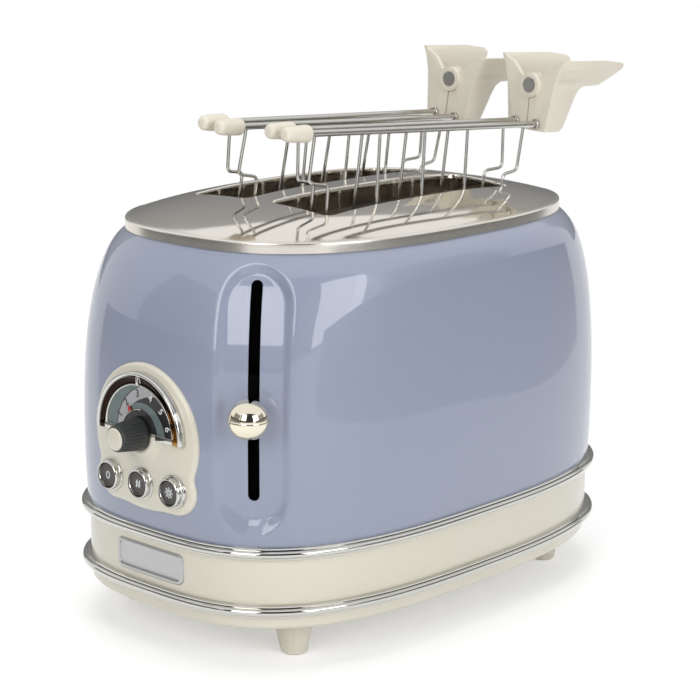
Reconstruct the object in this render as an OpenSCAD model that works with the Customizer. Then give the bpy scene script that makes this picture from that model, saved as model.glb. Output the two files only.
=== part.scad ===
// Two-slot pop-up toaster with a sandwich tong standing in each slot.
// The origin is on the floor under the middle of the housing, with +Z up.
// The control panel is on the -X end and the tong handles are at +X.

/* [Housing] */
// Half length of the shell at its foot
shell_half_l = 150; // [140:1:165]
// Half width of the shell at its foot
shell_half_w = 100; // [94:1:110]
// Half length of the shell at its top opening
top_half_l = 128; // [122:1:132]
// Half width of the shell at its top opening
top_half_w = 90; // [86:1:92]
// Height of the painted shell
shell_h = 144.5; // [138:0.5:155]
// Thickness of the shell's sheet
shell_t = 1; // [0.7:0.1:1.6]
// Outward swell of the shell's two ends
end_belly = 1.8; // [0:0.1:3]
// Outward swell of the shell's two sides
side_belly = 0.9; // [0:0.1:2]
// Width of the ledge round the shell's top opening
top_ledge_w = 7; // [5:0.5:9]

/* [Base] */
// Height of the feet, which is the height of the underside
foot_h = 20.5; // [16:0.5:26]
// Diameter of a foot where it meets the base
foot_top_d = 22; // [18:0.5:26]
// Diameter of a foot where it stands
foot_tip_d = 14.4; // [12:0.2:17]
// Distance of the feet from the middle along the length
foot_x = 104; // [95:1:110]
// Distance of the feet from the middle along the width
foot_y = 60; // [56:1:63]
// Height of the base pan's skirt
skirt_h = 7.5; // [7:0.5:10]
// Thickness of the base pan's floor
pan_floor_t = 2; // [1.5:0.1:3]
// Height of the plain band between the two rings
band_h = 24; // [18:0.5:30]
// Thickness of the band
band_t = 2.4; // [1.6:0.1:3]
// Set-back of the band from the shell
band_inset = 1; // [0.5:0.1:2]
// Height of each chrome ring
ring_h = 6.5; // [5.5:0.1:8]
// How far a chrome ring stands proud of the band
ring_proud = 4.8; // [3:0.1:6]
// Width of the crumb tray
tray_w = 92; // [80:1:96]
// Height of the crumb tray
tray_h = 4.8; // [4:0.1:5]
// How far the crumb tray pulls out
tray_travel = 140; // [100:5:150]

/* [Top plate] */
// Height of the plate's upright rim
rim_h = 6; // [4:0.5:8]
// Rise of the plate's dome above its rim
dome_h = 12; // [8:0.5:15]
// Thickness of the plate
plate_t = 1; // [0.8:0.1:1.4]
// Length of a bread slot
slot_l = 148; // [140:1:150]
// Width of a bread slot
slot_w = 42; // [40:0.5:43]
// Width of the bar between the two slots
slot_bar_w = 17; // [16:0.5:20]
// Place of the slots along the length
slot_x = 4.3; // [2:0.1:6]
// Depth of the flange under a slot's edge
flange_drop = 12; // [8:0.5:14]

/* [Lever] */
// Direction in which the lever points, from the control end
lever_angle = 36; // [33:1:38]
// Sideways place of the lever's line in the shell's corner
lever_offset = -29.3; // [-31:0.1:-28]
// Height of the bottom of the lever's slot above the shell's foot
lever_slot_low = 23; // [20:0.5:26]
// Distance of the top of the lever's slot below the shell's top
lever_slot_gap = 12; // [11:0.5:14]
// Width of the lever's slot
lever_slot_w = 5.9; // [5.6:0.1:7]
// Half width of the pressed recess round the slot
recess_r = 21; // [18:0.5:22]
// Depth of the recess
recess_depth = 5; // [3:0.5:6]
// Diameter of the lever's ball
ball_d = 20.3; // [16:0.1:22]
// Drop of the ball below the top of its slot, as photographed
ball_drop = 64; // [62:0.5:66]
// Diameter of the lever's arm
arm_d = 5; // [4:0.1:5.2]
// How far the lever rises from the photographed place
lever_rise = 60; // [50:1:60]
// How far the lever goes down from the photographed place
lever_fall = 41; // [30:1:41]

/* [Control panel] */
// Height of the dial's axis above the shell's foot
dial_up = 50.8; // [48:0.2:54]
// Radius of the panel's upper fan
fan_r = 38.2; // [36:0.2:40]
// Height of the buttons' row above the shell's foot
button_up = 24.3; // [23:0.1:26]
// Distance between neighbouring buttons
button_pitch = 23.3; // [20:0.1:24]
// Thickness of the control plate
panel_t = 2.2; // [1.6:0.1:3]
// Outer radius of the half-moon bezel
bezel_r = 31.8; // [30:0.1:33]
// Width of the half-moon bezel's rim
bezel_w = 7.2; // [5:0.1:8]
// Diameter of the knob at its foot
knob_d = 18; // [15:0.5:20]
// Length of the knob
knob_l = 15.5; // [12:0.5:20]
// Diameter of the dial's shaft
shaft_d = 6; // [5:0.1:6.4]
// Diameter of a button
button_d = 12.4; // [10:0.1:13]
// How far a button goes in
button_travel = 1.5; // [1:0.1:2]
// Outer diameter of a button's bezel
button_bezel_d = 17.5; // [16:0.1:19]
// Length of the bare badge plate
badge_l = 50; // [40:1:56]
// Height of the bare badge plate
badge_h = 16.5; // [12:0.5:18]

/* [Oven] */
// Thickness of the oven's two end frames
frame_t = 1; // [0.8:0.1:1.5]
// Room between a slot's end and an end frame
frame_gap = 5.5; // [4:0.5:7]
// Height of the racks that the bread stands on, as photographed
rack_z = 98.5; // [90:0.5:99]
// Thickness of a heater board
board_t = 0.8; // [0.6:0.1:1.2]
// Diameter of the bread guards' wires
guard_wire_d = 1.6; // [1.2:0.1:2]
// Room between a slot's side and a bread guard
guard_room = 2.5; // [2:0.1:3]
// Diameter of the guide rod
rod_d = 5; // [4:0.1:6]

/* [Tongs] */
// Length of a tong's rod from the middle of its cap to the handle
tong_l = 184; // [170:1:190]
// Diameter of a tong's rods
tong_rod_d = 3.6; // [3:0.1:4.4]
// Diameter of a tong's wires
tong_wire_d = 1.8; // [1.4:0.1:2.2]
// Half distance between a tong's rods at their caps
rods_at_cap = 5.9; // [5.6:0.1:7]
// Half distance between a tong's rods at their handles
rods_at_handle = 7.5; // [7:0.1:8.5]
// Depth of a tong's wires below its rods
tong_depth = 92; // [80:1:93]
// Depth of the shoulders in the end wires
shoulder_depth = 26; // [22:0.5:30]
// Length of the shoulders
shoulder_l = 13; // [10:0.5:15]
// Outward bow of the middle wires
wire_bow = 2.4; // [1:0.1:3]
// Height of the tong's pivot above its rods
pivot_up = 20.9; // [18:0.5:24]
// Diameter of the tong's pivot pin
pivot_d = 4; // [3:0.1:5]
// Diameter of the tong's round pivot boss
boss_d = 14; // [12:0.5:15]
// Length of a handle's wing
wing_l = 57; // [45:1:65]
// Thickness of the handles' walls
handle_t = 2.4; // [2:0.1:3]
// How far a tong opens
tong_open = 9; // [5:1:9]

/* [Clearances] */
// Radial clearance of a shaft or pin in its bore
run_clear = 0.05; // [0.02:0.01:0.1]
// Clearance round a button
button_clear = 0.15; // [0.1:0.01:0.3]
// Clearance round the crumb tray
tray_clear = 0.3; // [0.2:0.05:0.5]
// Clearance of a fixed piece in its hole
fit_clear = 0.3; // [0.1:0.05:0.5]

/* [Hidden] */
$fn = 48;

// Heights that follow from the sizes above
skirt_top = foot_h + skirt_h;
band_low = skirt_top + ring_h;
band_top = band_low + band_h;
shell_z = band_top + ring_h;
plate_z = shell_z + shell_h;
dome_z = plate_z + rim_h;
dial_z = shell_z + dial_up;
button_z = shell_z + button_up;
slot_bottom_z = shell_z + lever_slot_low;
slot_top_z = plate_z - lever_slot_gap;
lever_slot_l = slot_top_z - slot_bottom_z;
ball_z = slot_top_z - ball_drop;

// Plan outline: a fullness of 2 is an ellipse, and a larger one has squarer corners
foot_fullness = [2.88, 3.09];
top_fullness = [2.68, 2.57];
end_shoulder = 5.2;
side_shoulder = 27;
plan_n = 64;
plan_step = 360 / plan_n;
plan_cols = [for (i = [0:plan_n - 1]) i * plan_step];
band_half_l = shell_half_l - band_inset;
band_half_w = shell_half_w - band_inset;
pan_wall_t = 2.2;
pan_round = 1.6;

// Places of the oven's pieces
slot_y = (slot_bar_w + slot_w) / 2;
front_frame_x = slot_x - slot_l / 2 - frame_gap;
rear_frame_x = slot_x + slot_l / 2 + frame_gap;
oven_low = 48;
oven_top = plate_z - 6;
frame_half_w = slot_bar_w / 2 + slot_w + 10;
rod_x = front_frame_x - 19;
plate_x = front_frame_x - 10;
carriage_drop = 22;
carriage_over = 2.5;
carriage_low = ball_z - carriage_drop;
carriage_top = ball_z + carriage_over;
shelf_t = 1.5;
rack_t = 1.2;
rack_arm_h = 7;
rack_fin_l = 24;
rack_pitch = 24;
rack_neck_z = rack_z - rack_arm_h - 1.5;
hook_w = 8;
spring_y = 22;
spring_d = 8;
spring_turns = 10;
spring_wire = 1.1;
shelf_z = slot_top_z + 3;
spring_low = ball_z - 16;

// The lever's line: its direction, its sideways direction and a point on it
lever_u = [-cos(lever_angle), -sin(lever_angle)];
lever_t = [sin(lever_angle), -cos(lever_angle)];
lever_c = lever_offset * lever_t;
recess_soft = 0.66;
recess_mid_z = (slot_bottom_z + slot_top_z) / 2 - 4;
recess_half_h = lever_slot_l / 2 + 13;
ball_stand = 14.5;

// Places of the control panel's pieces, as heights above the control plate's face
panel_low_r = 13;
panel_neck_r = 4;
board_back = 18;
board_half_w = 34;
face_h = 0.5;
knob_foot_h = 1.6;
cap_h = 1.6;
button_face_h = 2.9;
button_bezel_h = 3.6;
button_l = 15.5;
post_y = 30;
post_d = 4.4;

// Places and lean of the two tongs: position of the rods' cap end, then roll, pitch and yaw
near_place = [[-85, -37.4, 265.8], [2.7, 3.2, -2.2]];
far_place = [[-84.4, 12.2, 265.2], [6.3, 3.3, 1.3]];
wire_spots = [13, 60, 94, 127.5, 173.5];
end_wire_in = 2;
rail_in = 3.5;
wire_turn = 60;
rod_past = 2;
rod_in = 4;
knee_up = 8;
knee_in = 0.5;
shoulder_fall = 1.6;
rail_past = 1.2;
collar_l = 2.2;
collar_d = 2;
cap_l = 17;
cap_d = 9.2;
web_t = 3;
handle_low = -4;
handle_high = 36.6;
handle_half_low = 13.2;
web_gap = 0.8;
flare_z = 22;

function sgn_pow(v, p) = sign(v) * pow(abs(v), p);
function smooth(v) = v <= 0 ? 0 : v >= 1 ? 1 : v * v * (3 - 2 * v);

// A point of a plan outline with half sizes a and b at the angle t
function plan_pt(a, b, full, t) =
    [a * sgn_pow(cos(t), 2 / full.x), b * sgn_pow(sin(t), 2 / full.y)];

// Half sizes and fullness of the shell at the fraction f of its height
function shell_a(f) =
    shell_half_l - (shell_half_l - top_half_l) * pow(f, end_shoulder)
    + end_belly * sin(180 * pow(f, 0.6));
function shell_b(f) =
    shell_half_w - (shell_half_w - top_half_w) * pow(f, side_shoulder)
    + side_belly * sin(180 * pow(f, 0.6));
function shell_full(f) = foot_fullness + (top_fullness - foot_fullness) * pow(f, 3);

// Distance along the lever's line at which it leaves a plan outline, found by halving
function line_exit(a, b, full, lo, hi, n = 18) =
    let (mid = (lo + hi) / 2,
         q = lever_c + mid * lever_u,
         inside = pow(abs(q.x) / a, full.x) + pow(abs(q.y) / b, full.y) < 1)
    n == 0 ? mid : line_exit(a, b, full, inside ? mid : lo, inside ? hi : mid, n - 1);
function shell_exit(f, off) =
    line_exit(shell_a(f) + off, shell_b(f) + off, shell_full(f), 0, shell_half_l + shell_half_w);

// How strongly the recess draws a point in: 1 on its floor and 0 outside it
function recess_pull(side, z) =
    let (up = max(0, abs(z - recess_mid_z) - (recess_half_h - recess_r)),
         q = sqrt(side * side + up * up) / recess_r)
    1 - smooth((q - recess_soft) / (1 - recess_soft));

// A point of the shell's surface, moved out by off
function shell_pt(t, f, off, floor_s) =
    let (p = plan_pt(shell_a(f) + off, shell_b(f) + off, shell_full(f), t),
         s = p * lever_u,
         z = shell_z + f * shell_h,
         q = p - lever_u * max(0, s - floor_s) * recess_pull(p * lever_t - lever_offset, z))
    [q.x, q.y, z];

// The shell's columns, with finer ones across the recess, and its rows
function near_recess(t) =
    let (p = plan_pt(shell_half_l, shell_half_w, foot_fullness, t))
    p * lever_u > 0 && abs(p * lever_t - lever_offset) < recess_r + 4;
shell_cols = [for (t = plan_cols) each (near_recess(t) ? [for (k = [0:3]) t + k * plan_step / 4] : [t])];
shell_rows = [0, 0.05, 0.1, 0.17, 0.29, 0.43, 0.57, 0.68, 0.77, 0.84, 0.89, 0.93, 0.96, 0.982, 1];
function shell_grid(off, cols, rows) =
    [for (f = rows) let (floor_s = shell_exit(f, off) - recess_depth)
        [for (t = cols) shell_pt(t, f, off, floor_s)]];

// A closed solid through a stack of closed rows of points
module row_stack(rows) {
    m = len(rows[0]);
    n = len(rows);
    points = [for (r = rows) each r];
    sides = [for (i = [0:n - 2]) for (j = [0:m - 1])
        let (k = (j + 1) % m, a = i * m + j, b = i * m + k, c = a + m, d = b + m)
        each [[a, c, d], [a, d, b]]];
    polyhedron(points, concat(sides, [[for (j = [0:m - 1]) j]], [[for (j = [m - 1:-1:0]) (n - 1) * m + j]]));
}

// A row of a plan outline at one height
function plan_row(a, b, full, z) = [for (t = plan_cols) let (p = plan_pt(a, b, full, t)) [p.x, p.y, z]];

// A profile of (outward, up) points carried round a plan outline
module plan_sweep(a, b, full, profile) {
    m = plan_n;
    n = len(profile);
    points = [for (q = profile) each plan_row(a + q.x, b + q.x, full, q.y)];
    faces = [for (i = [0:n - 1]) for (j = [0:m - 1])
        let (k = (j + 1) % m, i2 = (i + 1) % n, p = i * m + j, q = i * m + k, r = i2 * m + j, s = i2 * m + k)
        each [[p, r, s], [p, s, q]]];
    polyhedron(points, faces);
}

module shell_solid(off, rows = shell_rows) {
    row_stack(shell_grid(off, shell_cols, rows));
}

// The control end of the shell moved out by off, as a block that reaches back inside it
module end_block(off) {
    cols = [for (t = plan_cols) if (abs(t - 180) < 40) t];
    rows = [for (f = shell_rows) if (f < 0.75) f];
    front = shell_grid(off, cols, rows);
    back_x = -shell_half_l + 30;
    m = len(cols);
    n = len(rows);
    w = [for (r = front) concat(r, [[back_x, r[m - 1].y, r[0].z], [back_x, r[0].y, r[0].z]])];
    row_stack(w);
}

// Moves children to the lever's line, with +X pointing out along it
module on_lever(s, z) {
    p = lever_c + s * lever_u;
    translate([p.x, p.y, z]) rotate([0, 0, 180 + lever_angle]) children();
}

// Moves children to the control plate's face, with +Z pointing out of it and +X up
face_x = -(shell_a(dial_up / shell_h) + panel_t);
module on_face(y, z) {
    translate([face_x, y, z]) rotate([0, -90, 0]) children();
}

module rounded_box(l, w, r, h) {
    linear_extrude(h) {
        square([l - 2 * r, w], center = true);
        square([l, w - 2 * r], center = true);
        for (x = [-1, 1], y = [-1, 1]) {
            translate([x * (l / 2 - r), y * (w / 2 - r)]) circle(r);
        }
    }
}

module bar_between(p, q, d) {
    v = q - p;
    translate(p) rotate([0, acos(v.z / norm(v)), atan2(v.y, v.x)]) cylinder(h = norm(v), d = d, $fn = 24);
}

// A wire of straight runs with round joints
module wire(path, d) {
    for (i = [0:len(path) - 2]) {
        bar_between(path[i], path[i + 1], d);
    }
    for (i = [1:len(path) - 2]) {
        translate(path[i]) sphere(d = d + 0.14, $fn = 24);
    }
}

// A coil along +Z of the given height, as one unbroken tube
module coil(r, wire_d, turns, h, per_turn = 10, sides = 5) {
    n = turns * per_turn;
    run = h - wire_d;
    rows = [for (i = [0:n]) let (t = 360 * i / per_turn)
        [for (k = [0:sides - 1]) let (w = -360 * k / sides, q = r + wire_d / 2 * cos(w))
            [q * cos(t), q * sin(t), wire_d / 2 + run * i / n + wire_d / 2 * sin(w)]]];
    row_stack([for (i = [n:-1:0]) rows[i]]);
}

// Housing

module shell() {
    color("lightsteelblue") difference() {
        shell_solid(0);
        difference() {
            shell_solid(-shell_t);
            translate([0, 0, plate_z - shell_t]) cylinder(h = 5, r = 2 * shell_half_l);
        }
        translate([0, 0, shell_z - 1]) linear_extrude(2) polygon(plan_points(-shell_t));
        top_opening();
        lever_slot();
        on_face(0, dial_z) cylinder(h = 20, d = shaft_d + 8, center = true);
        for (i = [-1:1]) {
            on_face(i * button_pitch, button_z) cylinder(h = 20, d = button_d + 1.4, center = true);
        }
        panel_posts(fit_clear);
    }
}

function plan_points(off) = [for (t = plan_cols)
    plan_pt(shell_half_l + off, shell_half_w + off, foot_fullness, t)];

module top_opening() {
    translate([0, 0, plate_z - 5]) linear_extrude(10) polygon([for (t = plan_cols)
        plan_pt(top_half_l - top_ledge_w, top_half_w - top_ledge_w, top_fullness, t)]);
}

module lever_slot() {
    r = lever_slot_w / 2;
    on_lever(shell_half_l - recess_depth, 0) {
        translate([-30, -r, slot_bottom_z + r]) cube([60, lever_slot_w, lever_slot_l - lever_slot_w]);
        for (z = [slot_bottom_z + r, slot_top_z - r]) {
            translate([-30, 0, z]) rotate([0, 90, 0]) cylinder(h = 60, r = r);
        }
    }
}

// The dome's rows, from its rim to its flat middle, lowered and drawn in by off
dome_rho = [1, 0.92, 0.81, 0.66, 0.47, 0.24];
rim_round = 1.2;
plate_over = 0.6;
module plate_solid(off, low) {
    a = top_half_l + plate_over - off;
    b = top_half_w + plate_over - off;
    row_stack(concat(
        [plan_row(a, b, top_fullness, low), plan_row(a, b, top_fullness, dome_z - rim_round - off)],
        [for (q = dome_rho) plan_row((a - rim_round) * q, (b - rim_round) * q, top_fullness,
            dome_z - off + dome_h * (1 - pow(q, 3)))]));
}

module top_plate() {
    color("silver") difference() {
        union() {
            difference() {
                plate_solid(0, plate_z);
                plate_solid(plate_t, plate_z - 1);
            }
            intersection() {
                plate_solid(0, plate_z - flange_drop);
                for (s = [-1, 1]) {
                    translate([slot_x, s * slot_y, dome_z - flange_drop])
                        rounded_box(slot_l + 2 * plate_t, slot_w + 2 * plate_t, 6, 40);
                }
            }
        }
        for (s = [-1, 1]) {
            translate([slot_x, s * slot_y, plate_z - 20]) rounded_box(slot_l, slot_w, 5, 60);
        }
    }
}

ring_lip = 1;
module chrome_ring(z) {
    mid = ring_h / 2;
    lip_d = ring_proud * 0.58;
    profile = [[0, 0], [lip_d, 0], [lip_d, ring_lip], [ring_proud * 0.9, mid - 1.3], [ring_proud, mid],
        [ring_proud * 0.9, mid + 1.3], [lip_d, ring_h - ring_lip], [lip_d, ring_h], [0, ring_h]];
    color("gainsboro") translate([0, 0, z])
        plan_sweep(band_half_l, band_half_w, foot_fullness, profile);
}
module upper_ring() {
    chrome_ring(band_top);
}
module lower_ring() {
    chrome_ring(skirt_top);
}

gland_z = band_low + band_h / 2;
gland_bore_d = 10;
module base_band() {
    color("ivory") difference() {
        plan_sweep(band_half_l - band_t, band_half_w - band_t, foot_fullness,
            [[0, skirt_top], [band_t, skirt_top], [band_t, shell_z], [0, shell_z]]);
        translate([shell_half_l - 20, 0, gland_z]) rotate([0, 90, 0]) cylinder(h = 40, d = gland_bore_d);
    }
}

// The base pan's outside, drawn in by off
module pan_solid(off, low) {
    a = band_half_l - off;
    b = band_half_w - off;
    row_stack([
        plan_row(a - pan_round, b - pan_round, foot_fullness, low),
        plan_row(a, b, foot_fullness, low + pan_round),
        plan_row(a, b, foot_fullness, skirt_top)]);
}

tray_low = foot_h + pan_floor_t + tray_clear;
vent_l = 40;
module base_pan() {
    color("ivory") difference() {
        union() {
            difference() {
                pan_solid(0, foot_h);
                translate([0, 0, foot_h + pan_floor_t]) linear_extrude(30) polygon([for (t = plan_cols)
                    plan_pt(band_half_l - pan_wall_t, band_half_w - pan_wall_t, foot_fullness, t)]);
            }
            translate([rod_x, 0, foot_h]) cylinder(h = pan_floor_t + 5, d = rod_d + 7);
        }
        translate([shell_half_l - 30, -tray_w / 2 - tray_clear, foot_h + pan_floor_t])
            cube([60, tray_w + 2 * tray_clear, 30]);
        for (x = [-1, 1], y = [-1, 1]) {
            translate([x * foot_x, y * foot_y, foot_h - 1]) cylinder(h = 10, d = screw_d + 2 * fit_clear);
        }
        translate([rod_x, 0, foot_h + pan_floor_t]) cylinder(h = 10, d = rod_d + 2 * fit_clear);
        for (i = [-3:3]) {
            translate([slot_x + i * 18 - 2, -vent_l / 2, foot_h - 1]) cube([4, vent_l, 10]);
        }
    }
}

screw_d = 4;
screw_head_d = 7.4;
screw_sink = 9;
module feet() {
    r0 = foot_tip_d / 2;
    r1 = foot_top_d / 2;
    soft = 1.2;
    color("ivory") for (x = [-1, 1], y = [-1, 1]) {
        translate([x * foot_x, y * foot_y, 0]) rotate_extrude() difference() {
            polygon([[0, 0], [r0 - soft, 0], [r0 - 0.3, soft * 0.4], [r0, soft],
                [r0 + (r1 - r0) * 0.38, foot_h * 0.5], [r1, foot_h], [0, foot_h]]);
            translate([0, -1]) square([screw_d / 2 + fit_clear, foot_h + 2]);
            translate([0, -1]) square([screw_head_d / 2 + fit_clear, screw_sink + 1]);
        }
    }
}
module foot_screws() {
    color("gray") for (x = [-1, 1], y = [-1, 1]) {
        translate([x * foot_x, y * foot_y, screw_sink]) difference() {
            union() {
                translate([0, 0, -2.4]) cylinder(h = 2.4, d = screw_head_d);
                cylinder(h = foot_h + pan_floor_t + 3 - screw_sink, d = screw_d);
                translate([0, 0, foot_h + pan_floor_t - screw_sink]) cylinder(h = 2.4, d = screw_head_d, $fn = 6);
            }
            translate([0, 0, -3]) linear_extrude(1.8) {
                square([4.4, 0.9], center = true);
                square([0.9, 4.4], center = true);
            }
        }
    }
}

tray_l = 218;
tray_wall = 0.8;
module crumb_tray() {
    x1 = band_half_l - 6;
    color("silver") {
        difference() {
            translate([x1 - tray_l, -tray_w / 2, tray_low]) cube([tray_l, tray_w, tray_h]);
            translate([x1 - tray_l + tray_wall, -tray_w / 2 + tray_wall, tray_low + tray_wall])
                cube([tray_l - 2 * tray_wall, tray_w - 2 * tray_wall, tray_h]);
        }
        intersection() {
            difference() {
                translate([0, 0, -1]) linear_extrude(60) polygon([for (t = plan_cols)
                    plan_pt(band_half_l, band_half_w, foot_fullness, t)]);
                translate([0, 0, -2]) linear_extrude(62) polygon([for (t = plan_cols)
                    plan_pt(band_half_l - pan_wall_t, band_half_w - pan_wall_t, foot_fullness, t)]);
            }
            translate([0, -tray_w / 2, tray_low]) cube([200, tray_w, tray_h]);
        }
        translate([x1 - tray_wall, -tray_w / 4, tray_low]) cube([6, tray_w / 2, tray_h]);
        translate([band_half_l - 1, -14, tray_low]) cube([5.5, 28, 1.4]);
    }
}

module cord_gland() {
    inner = band_t + fit_clear;
    color("dimgray") translate([band_half_l, 0, gland_z]) rotate([0, 90, 0]) difference() {
        union() {
            translate([0, 0, -inner - 1]) cylinder(h = inner + 4.4, d = gland_bore_d - 2 * fit_clear);
            translate([0, 0, 0.1]) cylinder(h = 1.8, d = gland_bore_d + 4);
            translate([0, 0, -inner - 2]) cylinder(h = 2, d = gland_bore_d + 3);
        }
        translate([0, 0, -20]) cylinder(h = 40, d = gland_bore_d - 3.4);
    }
}

badge_t = 1.6;
module badge_plate() {
    color("silver") difference() {
        translate([-band_half_l - badge_t, 0, band_low + band_h / 2]) rotate([90, 0, 90]) difference() {
            rounded_box(badge_l, badge_h, 4, 8);
            translate([0, 0, -1]) rounded_box(badge_l - 5, badge_h - 5, 2.4, 1.6);
        }
        row_stack([for (z = [band_low - 1, band_top + 1]) plan_row(band_half_l, band_half_w, foot_fullness, z)]);
    }
}

// Control panel

module panel_outline() {
    lobe_y = button_pitch + 13 - panel_low_r;
    offset(r = -panel_neck_r) offset(r = panel_neck_r) difference() {
        union() {
            translate([0, dial_z - 2.4]) circle(fan_r);
            translate([-lobe_y, button_z - panel_low_r]) square([2 * lobe_y, 2 * panel_low_r]);
            for (s = [-1, 1]) {
                translate([s * lobe_y, button_z]) circle(panel_low_r);
            }
        }
        for (s = [-1, 1]) {
            translate([s * (fan_r + 0.8), (dial_z + button_z) / 2 - 1]) circle(4.4);
        }
    }
}

module panel_posts(grow = 0) {
    for (s = [-1, 1], z = [button_z + 14, dial_z + 21]) {
        y = z > dial_z ? post_y - 11 : post_y;
        translate([face_x + panel_t + 0.2, s * y, z]) rotate([0, 90, 0])
            cylinder(h = board_back - 0.2, d = post_d + 2 * grow, $fn = 24);
    }
}

module control_plate() {
    boss_d = knob_d + 6.4;
    color("ivory") difference() {
        union() {
            difference() {
                intersection() {
                    translate([face_x - 1, 0, 0]) rotate([90, 0, 90]) linear_extrude(12) panel_outline();
                    end_block(panel_t);
                }
                end_block(0);
            }
            on_face(0, dial_z) translate([0, 0, -panel_t / 2]) cylinder(h = panel_t / 2 + knob_foot_h - 0.5, d = boss_d);
            panel_posts();
        }
        on_face(0, dial_z) cylinder(h = 20, d = shaft_d + 2 * fit_clear, center = true);
        for (i = [-1:1]) {
            on_face(i * button_pitch, button_z) cylinder(h = 20, d = button_d + 2 * button_clear, center = true);
        }
    }
}

module dial_bezel() {
    r0 = bezel_r - bezel_w;
    bar_h = 3;
    color("gainsboro") difference() {
        on_face(0, dial_z) difference() {
            union() {
                rotate([0, 0, -90]) rotate_extrude(angle = 180, $fn = 96) polygon([
                    [r0, -4], [bezel_r, -4], [bezel_r, 1.6], [bezel_r - 0.7, 2.9], [bezel_r - 2, 3.2],
                    [r0 + 2, 0.9], [r0 + 1.2, 0.9], [r0 + 1, 1.6], [r0, 1.6]]);
                translate([-bar_h / 2, -bezel_r, -4]) cube([bar_h, 2 * bezel_r, 5.8]);
                translate([r0 + 0.5, -0.9, -4]) cube([bezel_w - 2, 1.8, 6]);
            }
            translate([0, 0, -9]) cylinder(h = 18, d = knob_d + 6.4 + 2 * fit_clear);
        }
        end_block(panel_t);
    }
}

module dial_face() {
    r = bezel_r - bezel_w;
    color("dimgray") difference() {
        on_face(0, dial_z) difference() {
            intersection() {
                translate([0, 0, -4]) cylinder(h = 4 + face_h, r = r);
                translate([1.5, -r, -4]) cube([r, 2 * r, 10]);
            }
            translate([0, 0, -9]) cylinder(h = 18, d = knob_d + 6.4 + 2 * fit_clear);
        }
        end_block(panel_t);
    }
}

knob_ribs = 16;
knob_tip_d = knob_d * 0.76;
module dial_knob() {
    r0 = knob_d / 2;
    r1 = knob_tip_d / 2;
    lean = atan2(r0 - r1, knob_l);
    color("dimgray") on_face(0, dial_z) translate([0, 0, knob_foot_h]) difference() {
        rotate_extrude() polygon([[0, 0], [r0 - 0.5, 0], [r0, 0.5], [r1, knob_l - 0.5], [r1 - 0.5, knob_l], [0, knob_l]]);
        translate([0, 0, -1]) cylinder(h = knob_l - 3, d = shaft_d);
        for (i = [0:knob_ribs - 1]) {
            rotate([0, 0, 360 * i / knob_ribs]) translate([r0 + 0.45, 0, 1.2]) rotate([0, -lean, 0])
                cylinder(h = knob_l + 2, r = 0.9, $fn = 16);
        }
    }
}
module knob_cap() {
    color("ivory") on_face(0, dial_z) translate([0, 0, knob_foot_h + knob_l])
        rotate_extrude() polygon([[0, 0], [knob_tip_d / 2 - 0.9, 0], [knob_tip_d / 2 - 0.9, cap_h * 0.5],
            [knob_tip_d / 2 - 1.7, cap_h], [0, cap_h]]);
}
module dial_shaft() {
    color("silver") on_face(0, dial_z) translate([0, 0, -panel_t - board_back + 1.5])
        cylinder(h = panel_t + board_back - 1.5 + knob_foot_h + knob_l - 4, d = shaft_d);
}

module button_bezels() {
    r1 = button_bezel_d / 2;
    r0 = button_d / 2 + button_clear;
    color("gainsboro") difference() {
        for (i = [-1:1]) {
            on_face(i * button_pitch, button_z) rotate_extrude() polygon([[r0, -3], [r1, -3], [r1, 0.6],
                [r1 - 0.5, 1.2], [r1 - 0.9, button_bezel_h - 0.8], [r1 - 1.5, button_bezel_h],
                [r0 + 0.3, button_bezel_h - 0.6], [r0, button_bezel_h - 1.2]]);
        }
        end_block(panel_t);
    }
}
module button(i) {
    color("dimgray") on_face(i * button_pitch, button_z) translate([0, 0, button_face_h - button_l])
        rotate_extrude() polygon([[0, 0], [button_d / 4, 0], [button_d / 4, 4], [button_d / 2, 4],
            [button_d / 2, button_l - 0.6], [button_d / 2 - 0.6, button_l], [button_d / 2 - 2, button_l - 0.5],
            [0, button_l - 0.7]]);
}
module stop_button() {
    button(1);
}
module reheat_button() {
    button(0);
}
module defrost_button() {
    button(-1);
}

board_x = face_x + panel_t + board_back;
module circuit_board() {
    low = button_z - 14;
    high = dial_z + 25;
    switch_h = board_x - (face_x - button_face_h + button_l) - button_travel - 0.4;
    color("darkgreen") {
        difference() {
            translate([board_x, -board_half_w, low]) cube([1.6, 2 * board_half_w, high - low]);
        }
        difference() {
            translate([board_x - 7, 0, dial_z]) rotate([0, 90, 0]) cylinder(h = 7, d = 16);
            translate([board_x - 8, 0, dial_z]) rotate([0, 90, 0]) cylinder(h = 6.6, d = shaft_d + 2 * run_clear);
        }
        for (i = [-1:1]) {
            translate([board_x - switch_h, i * button_pitch - 3, button_z - 3]) cube([switch_h, 6, 6]);
        }
        translate([board_x + 1.6, -12, dial_z + 6]) cube([6, 24, 10]);
        for (y = [-22, 18]) {
            translate([board_x + 1.6, y, button_z]) rotate([0, 90, 0]) cylinder(h = 12, d = 8);
        }
    }
}

// Lever and carriage

ball_s = shell_exit((ball_z - shell_z) / shell_h, 0) - recess_depth + ball_stand;
arm_in_s = (rod_x - lever_c.x) / lever_u.x;
arm_in_y = lever_c.y + arm_in_s * lever_u.y;
module lever_ball() {
    seam = 0.35;
    color("silver") on_lever(ball_s, ball_z) rotate([0, 90, 0]) rotate_extrude($fn = 64) difference() {
        union() {
            intersection() {
                circle(d = ball_d, $fn = 64);
                translate([0, -ball_d]) square([ball_d, 2 * ball_d]);
            }
            translate([0, -0.9]) square([ball_d / 2 + seam, 1.8]);
        }
        translate([-1, -ball_d]) square([1 + arm_d / 2, ball_d]);
    }
}
module lever_arm() {
    color("gray") on_lever(arm_in_s, ball_z) rotate([0, 90, 0]) cylinder(h = ball_s - arm_in_s, d = arm_d);
}

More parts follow.
